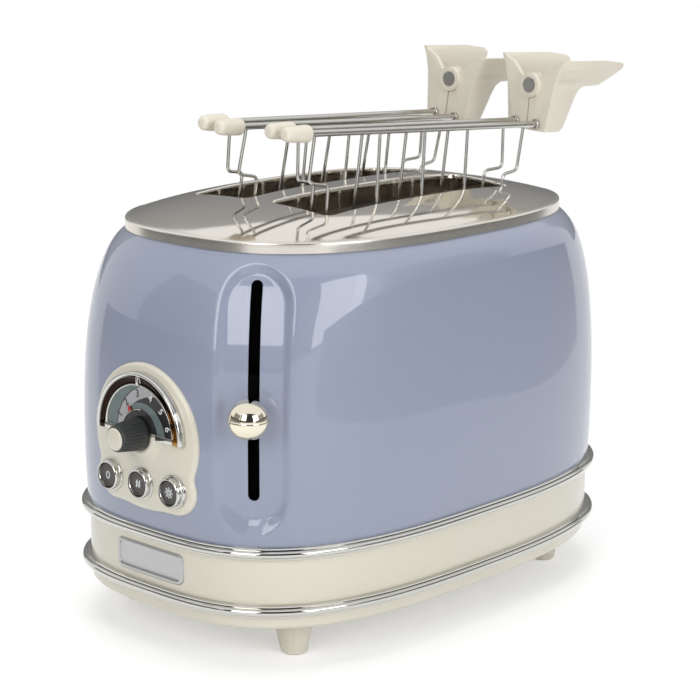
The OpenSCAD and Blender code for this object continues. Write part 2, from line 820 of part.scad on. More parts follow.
keeper_y = -20;
module carriage() {
    wing = slot_y + 8;
    color("gray") difference() {
        union() {
            translate([plate_x, -wing, carriage_low]) cube([1.5, 2 * wing, carriage_top - carriage_low]);
            translate([rod_x, 0, carriage_low]) cylinder(h = carriage_top - carriage_low, d = rod_d + 6);
            translate([rod_x, -2, carriage_low]) cube([plate_x - rod_x + 0.5, 4, carriage_top - carriage_low]);
            translate([rod_x - 5, arm_in_y - 5, ball_z - 5]) cube([plate_x - rod_x + 5.5, 10, 7.5]);
            translate([rod_x - 2, spring_y - 3, spring_low - 2]) cube([plate_x - rod_x + 2.5, 6, 2]);
            translate([rod_x - 6, keeper_y - 7, carriage_low]) cube([plate_x - rod_x + 6.5, 14, 2]);
            for (s = [-1, 1]) {
                translate([plate_x, s * slot_y - hook_w / 2, rack_neck_z]) cube([1.5, hook_w, carriage_low + 8 - rack_neck_z]);
            }
        }
        translate([rod_x, 0, carriage_low - 1])
            cylinder(h = carriage_top - carriage_low + 2, d = rod_d + 2 * run_clear);
        on_lever(arm_in_s, ball_z) rotate([0, 90, 0]) cylinder(h = ball_s - arm_in_s, d = arm_d);
    }
}

// A bread rack: an arm from the carriage through the front frame, with cross fins for the bread
module bread_rack(side) {
    x0 = plate_x + 1.5;
    x1 = rear_frame_x - 8;
    color("gray") translate([0, side * slot_y, 0]) {
        translate([x0, -rack_t / 2, rack_neck_z]) cube([x1 - x0, rack_t, rack_arm_h]);
        for (x = [front_frame_x + 14:rack_pitch:x1 - 2]) {
            translate([x, -rack_fin_l / 2, rack_z - 4]) cube([rack_t, rack_fin_l, 4]);
        }
    }
}
module near_bread_rack() {
    bread_rack(-1);
}
module far_bread_rack() {
    bread_rack(1);
}

module guide_rod() {
    low = foot_h + pan_floor_t;
    color("silver") translate([rod_x, 0, low]) cylinder(h = shelf_z + shelf_t - low, d = rod_d);
}

module return_spring() {
    color("gray") translate([rod_x, spring_y, spring_low])
        coil((spring_d - spring_wire) / 2, spring_wire, spring_turns, shelf_z - spring_low);
}

magnet_top = rack_z - lever_fall;
module latch_magnet() {
    low = foot_h + pan_floor_t;
    top = carriage_low - lever_fall - fit_clear;
    color("brown") translate([rod_x - 4, keeper_y, low]) {
        translate([-7, -7, 0]) cube([14, 14, 2]);
        cylinder(h = top - low, d = 5);
        translate([0, 0, 8]) cylinder(h = top - low - 12, d = 12);
        translate([-7, -6, 0]) cube([2, 12, top - low - 1]);
    }
}

// Oven

module frame_plate(x) {
    translate([x, -frame_half_w, oven_low - 18]) cube([frame_t, 2 * frame_half_w, oven_top - oven_low + 18]);
    for (s = [-1, 1]) {
        translate([x, s * (frame_half_w - 6) - 6, foot_h + pan_floor_t])
            cube([frame_t, 12, oven_low - foot_h - pan_floor_t]);
    }
}
module front_frame() {
    color("darkgray") {
        difference() {
            frame_plate(front_frame_x - frame_t);
            for (s = [-1, 1]) {
                translate([front_frame_x - 5, s * slot_y - 2, rack_neck_z - lever_fall - 2])
                    cube([10, 4, rack_arm_h + lever_fall + lever_rise + 4]);
            }
        }
        difference() {
            translate([rod_x - 8, -14, shelf_z]) cube([front_frame_x - rod_x + 8 - frame_t, 28 + spring_y, shelf_t]);
            translate([rod_x, 0, shelf_z - 1]) cylinder(h = 5, d = rod_d);
        }
    }
}
module rear_frame() {
    color("darkgray") frame_plate(rear_frame_x);
}

ribbon_n = 9;
module heater(y) {
    h = oven_top - oven_low - 6;
    l = rear_frame_x - front_frame_x;
    color("wheat") translate([front_frame_x, y - board_t / 2, oven_low + 3]) {
        cube([l, board_t, h]);
        for (i = [0:ribbon_n - 1]) {
            translate([6, -0.3, 8 + i * (h - 16) / (ribbon_n - 1) - 0.8]) cube([l - 12, board_t + 0.6, 1.6]);
        }
    }
}
guard_half = slot_w / 2 + guard_room;
heater_out = slot_y + guard_half + 4;
heater_in = slot_y - guard_half - 3;
module near_outer_heater() {
    heater(-heater_out);
}
module near_inner_heater() {
    heater(-heater_in);
}
module far_inner_heater() {
    heater(heater_in);
}
module far_outer_heater() {
    heater(heater_out);
}

// A wire grid that keeps bread off a heater
guard_n = 7;
module guard(y) {
    low = oven_low + 1;
    high = oven_top - 1;
    d = guard_wire_d;
    l = rear_frame_x - front_frame_x;
    color("silver") translate([front_frame_x, y, 0]) {
        for (z = [low, (low + high) / 2, high]) {
            translate([0, 0, z]) rotate([0, 90, 0]) cylinder(h = l, d = d + 0.2, $fn = 24);
        }
        for (i = [0:guard_n - 1]) {
            translate([12 + i * (l - 24) / (guard_n - 1), 0, low]) cylinder(h = high - low, d = d, $fn = 24);
        }
    }
}
module near_outer_guard() {
    guard(-slot_y - guard_half);
}
module near_inner_guard() {
    guard(-slot_y + guard_half);
}
module far_inner_guard() {
    guard(slot_y - guard_half);
}
module far_outer_guard() {
    guard(slot_y + guard_half);
}

// Tongs. A tong is drawn with its rods along +X, its front jaw at -Y and its wires hanging down.

module placed(place) {
    translate(place[0]) rotate(place[1]) children();
}
function rods_at(x) = rods_at_cap + (rods_at_handle - rods_at_cap) * x / tong_l;

module jaw(side) {
    low = -tong_depth + tong_wire_d / 2;
    n = len(wire_spots) - 1;
    rail_y = rods_at_handle - rail_in;
    function end_path(x, dir) = let (y = rods_at(x))
        [[x, side * y, 0], [x, side * (y - end_wire_in), -shoulder_depth],
         [x + dir * shoulder_l, side * (y - knee_in), -shoulder_depth - shoulder_fall],
         [x + dir * shoulder_l, side * (y - knee_in), low + knee_up], [x + dir * shoulder_l, side * rail_y, low]];
    function mid_path(x) = let (y = rods_at(x))
        [[x, side * y, 0], [x, side * (y + wire_bow), -wire_turn], [x, side * (y + 2 * knee_in), low + knee_up],
         [x, side * rail_y, low]];
    color("silver") {
        bar_between([-rod_past, side * rods_at(-rod_past), 0], [tong_l + rod_in, side * rods_at(tong_l + rod_in), 0],
            tong_rod_d);
        translate([tong_l + 0.8 - collar_l, side * rods_at_handle, 0]) rotate([0, 90, 0])
            cylinder(h = collar_l, d = tong_rod_d + collar_d);
        wire(end_path(wire_spots[0], 1), tong_wire_d);
        for (i = [1:n - 1]) {
            wire(mid_path(wire_spots[i]), tong_wire_d);
        }
        wire(end_path(wire_spots[n], -1), tong_wire_d);
        bar_between([wire_spots[0] + shoulder_l - rail_past, side * rail_y, low],
            [wire_spots[n] - shoulder_l + rail_past, side * rail_y, low], tong_wire_d + 0.2);
    }
}

module jaw_cap(side) {
    r = cap_d / 2;
    color("ivory") translate([0, side * rods_at_cap, 0]) rotate([0, -90, 0]) translate([0, 0, -cap_l / 2])
        difference() {
            rotate_extrude() polygon(concat([[0, 0], [r - 1.2, 0], [r - 0.3, 0.5], [r, 1.6]],
                [for (i = [0:6]) let (w = i * 15) [r * 0.34 + r * 0.52 * cos(w), cap_l - r * 0.62 + r * 0.62 * sin(w)]],
                [[0, cap_l]]));
            translate([0, 0, -1]) cylinder(h = cap_l / 2 + 3.05, d = tong_rod_d + 2 * run_clear + 0.04);
        }
}

// Half width of a handle at the height z above the rods
function handle_half(z) =
    handle_half_low + 0.15 * (z - handle_low) + 3.5 * pow(max(0, z - flare_z) / (handle_high - flare_z), 2);

module handle_wall() {
    n = 14;
    zs = [for (i = [0:n]) handle_low + (handle_high - handle_low) * i / n];
    intersection() {
        translate([tong_l + 1, 0, 0]) rotate([90, 0, 90]) linear_extrude(wing_l + 4)
            polygon(concat([for (z = zs) [handle_half(z), z]],
                [for (i = [n:-1:0]) [handle_half(zs[i]) - handle_t, zs[i]]]));
        translate([tong_l, 40, 0]) rotate([90, 0, 0]) linear_extrude(80) polygon([[1, handle_low],
            [14, handle_low], [16.5, handle_low + 2], [21.5, 16], [23.5, 20], [27, 22],
            [wing_l - 17, 22.3], [wing_l - 4, 29], [wing_l - 0.6, 31.8], [wing_l, 33.6],
            [wing_l - 2.4, 35.4], [wing_l - 16, handle_high], [1, handle_high]]);
    }
}

// A handle half. The front half's boss lies in front of the back half's.
module handle(front) {
    side = front ? -1 : 1;
    boss_r = boss_d / 2;
    web_x = tong_l + 1;
    color("ivory") difference() {
        union() {
            mirror([0, front ? 1 : 0, 0]) {
                handle_wall();
                difference() {
                    translate([web_x, 0, 0]) rotate([90, 0, 90]) linear_extrude(web_t) polygon([
                        [web_gap / 2, handle_low], [handle_half(handle_low) - 1, handle_low],
                        [handle_half(16) - 1, 16], [handle_half(handle_high) - 1.6, handle_high - 1],
                        [13.5, handle_high - 4], [8, pivot_up + boss_r - 1], [web_gap / 2, pivot_up]]);
                    translate([web_x - 2, 0, pivot_up]) rotate([0, 90, 0])
                        cylinder(h = web_t + 4, r = boss_r + fit_clear);
                }
            }
            if (front) {
                translate([web_x - 1.5, 0, pivot_up]) rotate([0, 90, 0]) cylinder(h = web_t + 1.5, r = boss_r);
                translate([web_x, -boss_r - 3, pivot_up - 6]) cube([web_t, 5, 10]);
            } else {
                translate([web_x + web_t + fit_clear, 0, pivot_up]) rotate([0, 90, 0]) cylinder(h = web_t, r = boss_r);
                translate([web_x, boss_r + 0.6, pivot_up - 8]) cube([2 * web_t + fit_clear, 4, 12]);
                translate([web_x + web_t + fit_clear, 2, pivot_up - 8]) cube([web_t, boss_r, 8]);
            }
        }
        translate([web_x - 10, 0, pivot_up]) rotate([0, 90, 0]) cylinder(h = 30, d = pivot_d + 2 * run_clear);
        bar_between([tong_l - 1, side * rods_at_handle, 0], [tong_l + 12, side * rods_at_handle, 0],
            tong_rod_d + 0.1);
        if (front) {
            translate([web_x - 1.5 - 1, 0, pivot_up]) rotate([0, 90, 0]) cylinder(h = 1.9, d = boss_d - 5);
        }
    }
}

spring_back = 0.6;
tong_spring_l = 5;
module tong_pin() {
    web_x = tong_l + 1;
    end_x = web_x + 2 * web_t + fit_clear + 2 * spring_back + tong_spring_l;
    color("silver") translate([0, 0, pivot_up]) {
        translate([web_x - 1.4, 0, 0]) rotate([0, 90, 0]) cylinder(h = 0.7, d = boss_d - 6);
        translate([web_x - 1, 0, 0]) rotate([0, 90, 0]) cylinder(h = end_x - web_x + 1, d = pivot_d);
        translate([end_x, 0, 0]) rotate([0, 90, 0]) cylinder(h = 1, d = pivot_d + 4);
    }
}
module tong_spring() {
    color("gray") translate([tong_l + 1 + 2 * web_t + fit_clear + spring_back, 0, pivot_up]) rotate([0, 90, 0])
        coil(pivot_d / 2 + 0.9, 1, 3, tong_spring_l);
}

module near_tong_pin() {
    placed(near_place) tong_pin();
}
module near_tong_spring() {
    placed(near_place) tong_spring();
}
module near_tong_front_handle() {
    placed(near_place) handle(true);
}
module near_tong_front_jaw() {
    placed(near_place) jaw(-1);
}
module near_tong_front_cap() {
    placed(near_place) jaw_cap(-1);
}
module near_tong_back_handle() {
    placed(near_place) handle(false);
}
module near_tong_back_jaw() {
    placed(near_place) jaw(1);
}
module near_tong_back_cap() {
    placed(near_place) jaw_cap(1);
}
module far_tong_pin() {
    placed(far_place) tong_pin();
}
module far_tong_spring() {
    placed(far_place) tong_spring();
}
module far_tong_front_handle() {
    placed(far_place) handle(true);
}
module far_tong_front_jaw() {
    placed(far_place) jaw(-1);
}
module far_tong_front_cap() {
    placed(far_place) jaw_cap(-1);
}
module far_tong_back_handle() {
    placed(far_place) handle(false);
}
module far_tong_back_jaw() {
    placed(far_place) jaw(1);
}
module far_tong_back_cap() {
    placed(far_place) jaw_cap(1);
}

shell();
top_plate();
upper_ring();
base_band();
lower_ring();
base_pan();
feet();
foot_screws();
crumb_tray();
cord_gland();
badge_plate();
control_plate();
dial_bezel();
dial_face();
dial_knob();
knob_cap();
dial_shaft();
button_bezels();
stop_button();
reheat_button();
defrost_button();
circuit_board();
lever_ball();
lever_arm();
carriage();
near_bread_rack();
far_bread_rack();
guide_rod();
return_spring();
latch_magnet();
front_frame();
rear_frame();
near_outer_heater();
near_inner_heater();
far_inner_heater();
far_outer_heater();
near_outer_guard();
near_inner_guard();
far_inner_guard();
far_outer_guard();
near_tong_pin();
near_tong_spring();
near_tong_front_handle();
near_tong_front_jaw();
near_tong_front_cap();
near_tong_back_handle();
near_tong_back_jaw();
near_tong_back_cap();
far_tong_pin();
far_tong_spring();
far_tong_front_handle();
far_tong_front_jaw();
far_tong_front_cap();
far_tong_back_handle();
far_tong_back_jaw();
far_tong_back_cap();
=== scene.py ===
"""Dresses a two-slot toaster and its two sandwich tongs: painted shell, polished trim, dial, buttons and wires."""

import math

import bpy
from bpy.props import FloatProperty, FloatVectorProperty, PointerProperty
from mathutils import Matrix, Vector


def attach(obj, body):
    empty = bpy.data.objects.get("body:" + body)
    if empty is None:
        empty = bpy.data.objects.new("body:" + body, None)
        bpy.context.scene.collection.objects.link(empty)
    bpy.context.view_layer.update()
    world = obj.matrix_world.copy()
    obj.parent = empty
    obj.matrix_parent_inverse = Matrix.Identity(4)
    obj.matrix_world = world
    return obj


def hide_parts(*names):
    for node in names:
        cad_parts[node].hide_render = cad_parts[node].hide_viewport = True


bl_info = {
    "name": "Two-slot toaster",
    "version": (1, 0, 0),
    "blender": (4, 2, 0),
    "location": "View3D > Sidebar > Toaster",
    "description": "Builds the finished look of a two-slot toaster with a sandwich tong in each slot",
    "category": "Object",
}

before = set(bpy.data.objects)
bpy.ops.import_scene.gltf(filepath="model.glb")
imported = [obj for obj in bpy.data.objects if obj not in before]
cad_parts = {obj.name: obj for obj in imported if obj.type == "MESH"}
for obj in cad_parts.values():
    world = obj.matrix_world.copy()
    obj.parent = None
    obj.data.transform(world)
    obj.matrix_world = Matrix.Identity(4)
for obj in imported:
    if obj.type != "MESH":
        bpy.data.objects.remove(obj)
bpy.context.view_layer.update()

# ------------------------------------------------------------------ sizes, in millimetres
MM = 0.001
SHELL_HALF_L, SHELL_HALF_W, SHELL_H = 150.0, 100.0, 144.5
TOP_HALF_L, TOP_HALF_W = 128.0, 90.0
FOOT_FULL, TOP_FULL = (2.88, 3.09), (2.68, 2.57)
FOOT_H, SKIRT_TOP, BAND_LOW, BAND_TOP, SHELL_Z = 20.5, 28.0, 34.5, 58.5, 65.0
BAND_HALF_L, BAND_HALF_W, BAND_T = 149.0, 99.0, 2.4
RING_H, RING_PROUD = 6.5, 4.8
PLATE_Z, DOME_Z, DOME_H, RIM_ROUND, PLATE_OVER = 209.5, 215.5, 12.0, 1.2, 0.6
SLOT_X, SLOT_Y, SLOT_L, SLOT_W, FLANGE_DROP = 4.3, 29.5, 148.0, 42.0, 12.0
LEVER_ANGLE, LEVER_OFFSET = math.radians(36), -29.3
SLOT_LOW_Z, SLOT_TOP_Z, LEVER_SLOT_W = 88.0, 197.5, 5.9
RECESS_R, RECESS_DEPTH, RECESS_SOFT = 21.0, 5.0, 0.66
BALL_D, BALL_Z, BALL_STAND = 20.3, 133.5, 14.5
DIAL_Z, FAN_R, BUTTON_Z, BUTTON_PITCH, PANEL_T = 115.8, 38.2, 89.3, 23.3, 2.2
BEZEL_R, BEZEL_W, KNOB_D, KNOB_L = 31.8, 7.2, 18.0, 15.5
BUTTON_D, BUTTON_BEZEL_D = 12.4, 17.5
BADGE_L, BADGE_H = 50.0, 16.5
TONG_L, ROD_D, WIRE_D, TONG_DEPTH = 184.0, 3.6, 1.8, 92.0
ROD_AT_CAP, ROD_AT_HANDLE, SHOULDER_DEPTH, SHOULDER_L = 5.9, 7.5, 26.0, 13.0
WIRE_SPOTS = (13.0, 60.0, 94.0, 127.5, 173.5)
FOOT_X, FOOT_Y, PANEL_MID_Z = 104, 60, 105.0
FLANGE_W = 1.2
# a slot's rolled edge: share of its width inwards, and steps down
FLANGE_ROLL = ((0, 0), (0.3, 0.02), (0.62, 0.14), (0.88, 0.42), (1.0, 0.9), (1.0, 2.2), (1.0, 6.0), (1.0, 10.0),
               (0.45, 10.0), (0.45, 6.0), (0.3, 2.2), (0, 0.9))
PLACES = {"near": ((-85, -37.4, 265.8), (2.7, 3.2, -2.2)), "far": ((-84.4, 12.2, 265.2), (6.3, 3.3, 1.3))}

# the camera: place in millimetres, its three directions, focal length and picture width in pixels
VIEW_FROM = Vector((-843.46, -785.01, 403.67))
VIEW_RIGHT = Vector((0.68126164, -0.73202581, 0.00455976))
VIEW_UP = Vector((0.16442028, 0.1590819, 0.97347775))
VIEW_AHEAD = Vector((0.71333621, 0.66244333, -0.22873628))
FOCAL_PX, PICTURE_PX, SENSOR_W = 2122.26, 700, 36.0

LEVER_U = Vector((-math.cos(LEVER_ANGLE), -math.sin(LEVER_ANGLE)))
LEVER_T = Vector((math.sin(LEVER_ANGLE), -math.cos(LEVER_ANGLE)))
LEVER_C = LEVER_T * LEVER_OFFSET


# ------------------------------------------------------------------ plan outlines
def curved(v, p):
    return math.copysign(abs(v) ** p, v)


def plan_point(a, b, full, t):
    return a * curved(math.cos(t), 2 / full[0]), b * curved(math.sin(t), 2 / full[1])


def shell_half(f):
    """Half sizes and fullness of the shell at the fraction f of its height."""
    swell = math.sin(math.pi * f ** 0.6)
    a = SHELL_HALF_L - (SHELL_HALF_L - TOP_HALF_L) * f ** 5.2 + 1.8 * swell
    b = SHELL_HALF_W - (SHELL_HALF_W - TOP_HALF_W) * f ** 27 + 0.9 * swell
    return a, b, tuple(p + (q - p) * f ** 3 for p, q in zip(FOOT_FULL, TOP_FULL))


def lever_exit(f):
    """Distance along the lever's line at which it leaves the shell."""
    a, b, full = shell_half(f)
    lo, hi = 0.0, 250.0
    for _ in range(30):
        mid = (lo + hi) / 2
        q = LEVER_C + LEVER_U * mid
        if abs(q.x / a) ** full[0] + abs(q.y / b) ** full[1] < 1:
            lo = mid
        else:
            hi = mid
    return lo


def ease(v):
    v = min(1.0, max(0.0, v))
    return v * v * (3 - 2 * v)


def recess_pull(side, z):
    """1 on the floor of the pressed recess and 0 outside it."""
    middle = (SLOT_LOW_Z + SLOT_TOP_Z) / 2 - 4
    half_h = (SLOT_TOP_Z - SLOT_LOW_Z) / 2 + 13
    up = max(0.0, abs(z - middle) - (half_h - RECESS_R))
    q = math.hypot(side, up) / RECESS_R
    return 1 - ease((q - RECESS_SOFT) / (1 - RECESS_SOFT))


def end_x(y, z):
    """Outside of the shell's control end at a place across and up."""
    a, b, full = shell_half(min(1.0, max(0.0, (z - SHELL_Z) / SHELL_H)))
    return -a * max(0.0, 1 - abs(y / b) ** full[1]) ** (1 / full[0])


FACE_X = -(shell_half((DIAL_Z - SHELL_Z) / SHELL_H)[0] + PANEL_T)


def gauge(x, y, a, b, full):
    """How far out a place lies in a plan outline, 1 on the outline."""
    lo, hi = 0.0, 1.6
    for _ in range(30):
        mid = (lo + hi) / 2
        if abs(x / (a * mid)) ** full[0] + abs(y / (b * mid)) ** full[1] < 1:
            hi = mid
        else:
            lo = mid
    return hi


def dome_height(x, y):
    q = gauge(x, y, TOP_HALF_L + PLATE_OVER - RIM_ROUND, TOP_HALF_W + PLATE_OVER - RIM_ROUND, TOP_FULL)
    return DOME_Z + DOME_H * (1 - min(q, 1) ** 3)


# ------------------------------------------------------------------ modelling
def clear():
    if bpy.context.mode != "OBJECT":
        bpy.ops.object.mode_set(mode="OBJECT")
    bpy.ops.object.select_all(action="DESELECT")


def pick(*pieces):
    clear()
    for piece in pieces:
        piece.select_set(True)
    bpy.context.view_layer.objects.active = pieces[0]


def edit(piece):
    pick(piece)
    bpy.ops.object.mode_set(mode="EDIT")
    bpy.ops.mesh.select_all(action="SELECT")


def weld(piece, gap=0.002):
    """Join points that meet and turn the faces outwards."""
    edit(piece)
    bpy.ops.mesh.remove_doubles(threshold=gap * MM)
    bpy.ops.mesh.normals_make_consistent(inside=False)
    bpy.ops.object.mode_set(mode="OBJECT")


def soft(piece, degrees=35):
    pick(piece)
    bpy.ops.object.shade_smooth_by_angle(angle=math.radians(degrees))


def apply(piece, kind, **settings):
    pick(piece)
    modifier = piece.modifiers.new(kind.title(), kind)
    for key, value in settings.items():
        setattr(modifier, key, value)
    bpy.ops.object.modifier_apply(modifier=modifier.name)


def join(pieces):
    pick(*pieces)
    if len(pieces) > 1:
        bpy.ops.object.join()
    return bpy.context.object


def sheet(across, up, place, welded=True):
    """A grid whose points are carried to place(column, row)."""
    clear()
    bpy.ops.mesh.primitive_grid_add(x_subdivisions=across, y_subdivisions=up, size=1)
    piece = bpy.context.object
    for point in piece.data.vertices:
        column, row = round((point.co.x + 0.5) * across), round((point.co.y + 0.5) * up)
        point.co = Vector(place(column, row)) * MM
    if welded:
        weld(piece)
    return piece


def turned(profile, where, steps=64, low=0.0, high=360.0):
    """A profile of (radius, height) turned round the axis that where(u, v, height) gives."""
    def place(i, j):
        a = math.radians(low + (high - low) * i / steps)
        r, h = profile[j]
        return where(r * math.cos(a), r * math.sin(a), h)
    return sheet(steps, len(profile) - 1, place)


def block(outline, low, high, where):
    """A straight block on a star-shaped outline."""
    n = len(outline)
    mid = sum((Vector(p) for p in outline), Vector((0, 0))) / n

    def place(i, j):
        p = mid if j in (0, 3) else outline[i % n]
        return where(p[0], p[1], low if j < 2 else high)
    return sheet(n, 3, place)


def cut(piece, *cutters):
    for cutter in cutters:
        apply(piece, "BOOLEAN", operation="DIFFERENCE", object=cutter, solver="EXACT")
        bpy.data.objects.remove(cutter)


def ring_of(r, n=48, at=(0.0, 0.0)):
    return [(at[0] + r * math.cos(2 * math.pi * k / n), at[1] + r * math.sin(2 * math.pi * k / n)) for k in range(n)]


def rounded(l, w, r, n=10, at=(0.0, 0.0)):
    """Outline of a rectangle with round corners."""
    out = []
    for k, (sx, sy) in enumerate(((1, 1), (-1, 1), (-1, -1), (1, -1))):
        for i in range(n + 1):
            a = math.pi / 2 * (k + i / n)
            out.append((at[0] + sx * (l / 2 - r) + r * math.cos(a), at[1] + sy * (w / 2 - r) + r * math.sin(a)))
    return out


def spaced(outline, gap):
    """The same closed outline with points no further apart than gap."""
    out = []
    for k, p in enumerate(outline):
        q = outline[(k + 1) % len(outline)]
        n = max(1, math.ceil(math.dist(p, q) / gap))
        out += [(p[0] + (q[0] - p[0]) * i / n, p[1] + (q[1] - p[1]) * i / n) for i in range(n)]
    return out


def arc(cx, cy, r, start, end, n=6):
    return [(cx + r * math.cos(math.radians(start + (end - start) * i / n)),
             cy + r * math.sin(math.radians(start + (end - start) * i / n))) for i in range(n + 1)]


def bent(points, radius, n=5):
    """A wire's path with its corners rounded."""
    out = [Vector(points[0])]
    for p, q, r in zip(points, points[1:], points[2:]):
        p, q, r = Vector(p), Vector(q), Vector(r)
        back = min(radius, (q - p).length * 0.45, (r - q).length * 0.45)
        a, b = q + (p - q).normalized() * back, q + (r - q).normalized() * back
        out += [(a * (1 - s) + q * s) * (1 - s) + (q * (1 - s) + b * s) * s for s in (i / n for i in range(n + 1))]
    return out + [Vector(points[-1])]


def tube(path, d, sides=3):
    """A round wire along a path given in millimetres."""
    clear()
    line = bpy.data.curves.new("wire", "CURVE")
    line.dimensions = "3D"
    line.bevel_depth = d / 2 * MM
    line.bevel_resolution = sides
    line.use_fill_caps = True
    spline = line.splines.new("POLY")
    spline.points.add(len(path) - 1)
    for point, place in zip(spline.points, path):
        point.co = (*(Vector(place) * MM), 1)
    piece = bpy.data.objects.new("wire", line)
    bpy.context.scene.collection.objects.link(piece)
    pick(piece)
    bpy.ops.object.convert(target="MESH")
    piece = bpy.context.object
    soft(piece, 40)
    return piece


def settle(piece, name, finish, body, *nodes):
    """Name a finished piece, give it its finish and let it ride on its body."""
    piece.name = piece.data.name = name
    piece.data.materials.clear()
    piece.data.materials.append(finish)
    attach(piece, body)
    if nodes:
        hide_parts(*nodes)
    return piece


def softened(node, width, segments=3, degrees=35, flat=4):
    """A copy of a node's solid with its edges rounded."""
    clear()
    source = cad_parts[node]
    piece = source.copy()
    piece.data = source.data.copy()
    piece.parent = None
    for key in list(piece.keys()):
        del piece[key]
    bpy.context.scene.collection.objects.link(piece)
    weld(piece, 0.01)
    edit(piece)
    bpy.ops.mesh.dissolve_limited(angle_limit=math.radians(flat))
    bpy.ops.object.mode_set(mode="OBJECT")
    apply(piece, "BEVEL", width=width * MM, segments=segments, limit_method="ANGLE",
          angle_limit=math.radians(28), use_clamp_overlap=True)
    soft(piece, degrees)
    return piece


# ------------------------------------------------------------------ finishes
class Value:
    """A socket that takes part in Python arithmetic."""

    def __init__(self, mix, socket):
        self.mix, self.socket = mix, socket

    def _math(self, operation, *values):
        return self.mix.node("ShaderNodeMath", {"operation": operation}, values)

    def __add__(self, other):
        return self._math("ADD", self, other)

    def __sub__(self, other):
        return self._math("SUBTRACT", self, other)

    def __rsub__(self, other):
        return self._math("SUBTRACT", other, self)

    def __mul__(self, other):
        return self._math("MULTIPLY", self, other)

    def __truediv__(self, other):
        return self._math("DIVIDE", self, other)

    __radd__, __rmul__ = __add__, __mul__

    def clamp(self):
        return self.mix.node("ShaderNodeClamp", {}, (self, 0.0, 1.0))

    def edge(self, at, width):
        """0 below a place and 1 above it, with a soft edge."""
        return ((self - at) / width + 0.5).clamp()


class Finish:
    """A surface finish put together from nodes."""

    def __init__(self, name):
        self.material = bpy.data.materials.new(name)
        self.material.use_nodes = True
        self.tree = self.material.node_tree
        self.shader = self.tree.nodes["Principled BSDF"]

    def node(self, kind, settings=None, values=(), output=0):
        made = self.tree.nodes.new(kind)
        for key, value in (settings or {}).items():
            if key == "stops":
                ramp = made.color_ramp
                while len(ramp.elements) < len(value):
                    ramp.elements.new(0.5)
                for element, (at, colour) in zip(ramp.elements, value):
                    element.position, element.color = at, (*colour, 1)
            else:
                setattr(made, key, value)
        pairs = values.items() if isinstance(values, dict) else enumerate(values)
        for key, value in pairs:
            if isinstance(value, Value):
                self.tree.links.new(value.socket, made.inputs[key])
            elif value is not None:
                made.inputs[key].default_value = value
        return Value(self, made.outputs[output])

    def place(self):
        return self.node("ShaderNodeTexCoord", output="Object")

    def split(self, vector):
        made = self.node("ShaderNodeSeparateXYZ", {}, (vector,))
        return [Value(self, output) for output in made.socket.node.outputs]

    def noise(self, scale, detail=2.0, stretch=None):
        place = self.place()
        if stretch:
            place = self.node("ShaderNodeMapping", {}, {"Vector": place, "Scale": stretch})
        return self.node("ShaderNodeTexNoise", {}, {"Vector": place, "Scale": scale, "Detail": detail})

    def blend(self, mask, a, b):
        def full(c):
            return c if isinstance(c, Value) else (*c, 1)
        made = self.node("ShaderNodeMix", {"data_type": "RGBA"}, {"Factor": mask}, output=2)
        for key, value in ((6, full(a)), (7, full(b))):
            if isinstance(value, Value):
                self.tree.links.new(value.socket, made.socket.node.inputs[key])
            else:
                made.socket.node.inputs[key].default_value = value
        return made

    def bump(self, height, strength, distance):
        return self.node("ShaderNodeBump", {}, {"Strength": strength, "Distance": distance, "Height": height})

    def set(self, **values):
        for key, value in values.items():
            socket = self.shader.inputs[key.replace("_", " ")]
            if isinstance(value, Value):
                self.tree.links.new(value.socket, socket)
            else:
                socket.default_value = (*value, 1) if isinstance(value, tuple) and len(value) == 3 else value
        return self.material


def tint(r, g, b):
    """A colour written as 0 to 255 screen values."""
    return tuple(c / 255 / 12.92 if c / 255 <= 0.04045 else ((c / 255 + 0.055) / 1.055) ** 2.4 for c in (r, g, b))


def darker(colour, by):
    return tuple(c * by for c in colour)


def gloss_paint(name, colour):
    """Stove enamel: an even colour under a clear gloss that is very faintly uneven."""
    f = Finish(name)
    cloud = f.noise(9, 2)
    peel = f.noise(420, 2)
    return f.set(Base_Color=f.blend(cloud, darker(colour, 0.985), darker(colour, 1.015)), Roughness=0.42,
                 Coat_Weight=1.0, Coat_Roughness=0.035, Normal=f.bump(peel, 0.025, 0.0004))


def cream_enamel(name, colour):
    f = Finish(name)
    cloud = f.noise(14, 3)
    peel = f.noise(600, 2)
    return f.set(Base_Color=f.blend(cloud, darker(colour, 0.975), colour), Roughness=0.4,
                 Coat_Weight=0.7, Coat_Roughness=0.08, Normal=f.bump(peel, 0.03, 0.0003))


def moulded(name, colour, rough=0.45, grain=1500.0, coat=0.1):
    """Moulded plastic with a fine spark texture."""
    f = Finish(name)
    cloud = f.noise(25, 3)
    spark = f.noise(grain, 2)
    return f.set(Base_Color=f.blend(cloud, darker(colour, 0.95), darker(colour, 1.02)),
                 Roughness=spark * 0.1 + (rough - 0.05),
                 Coat_Weight=coat, Coat_Roughness=0.25, Normal=f.bump(spark, 0.08, 0.00015))


def bright_metal(name, colour, rough, smudge):
    """Bright plated metal with a faint smudging of its gloss."""
    f = Finish(name)
    haze = f.noise(60, 3)
    return f.set(Base_Color=f.blend(haze, darker(colour, 0.96), colour), Metallic=1.0, Roughness=haze * smudge + rough)


def drawn_steel(name, colour, rough, stretch, strength=0.1, scale=500.0):
    """Steel with fine drawing lines along one direction."""
    f = Finish(name)
    lines = f.noise(scale, 3, stretch)
    return f.set(Base_Color=f.blend(lines, darker(colour, 0.85), colour), Metallic=1.0,
                 Roughness=lines * 0.12 + (rough - 0.06), Normal=f.bump(lines, strength, 0.0002))


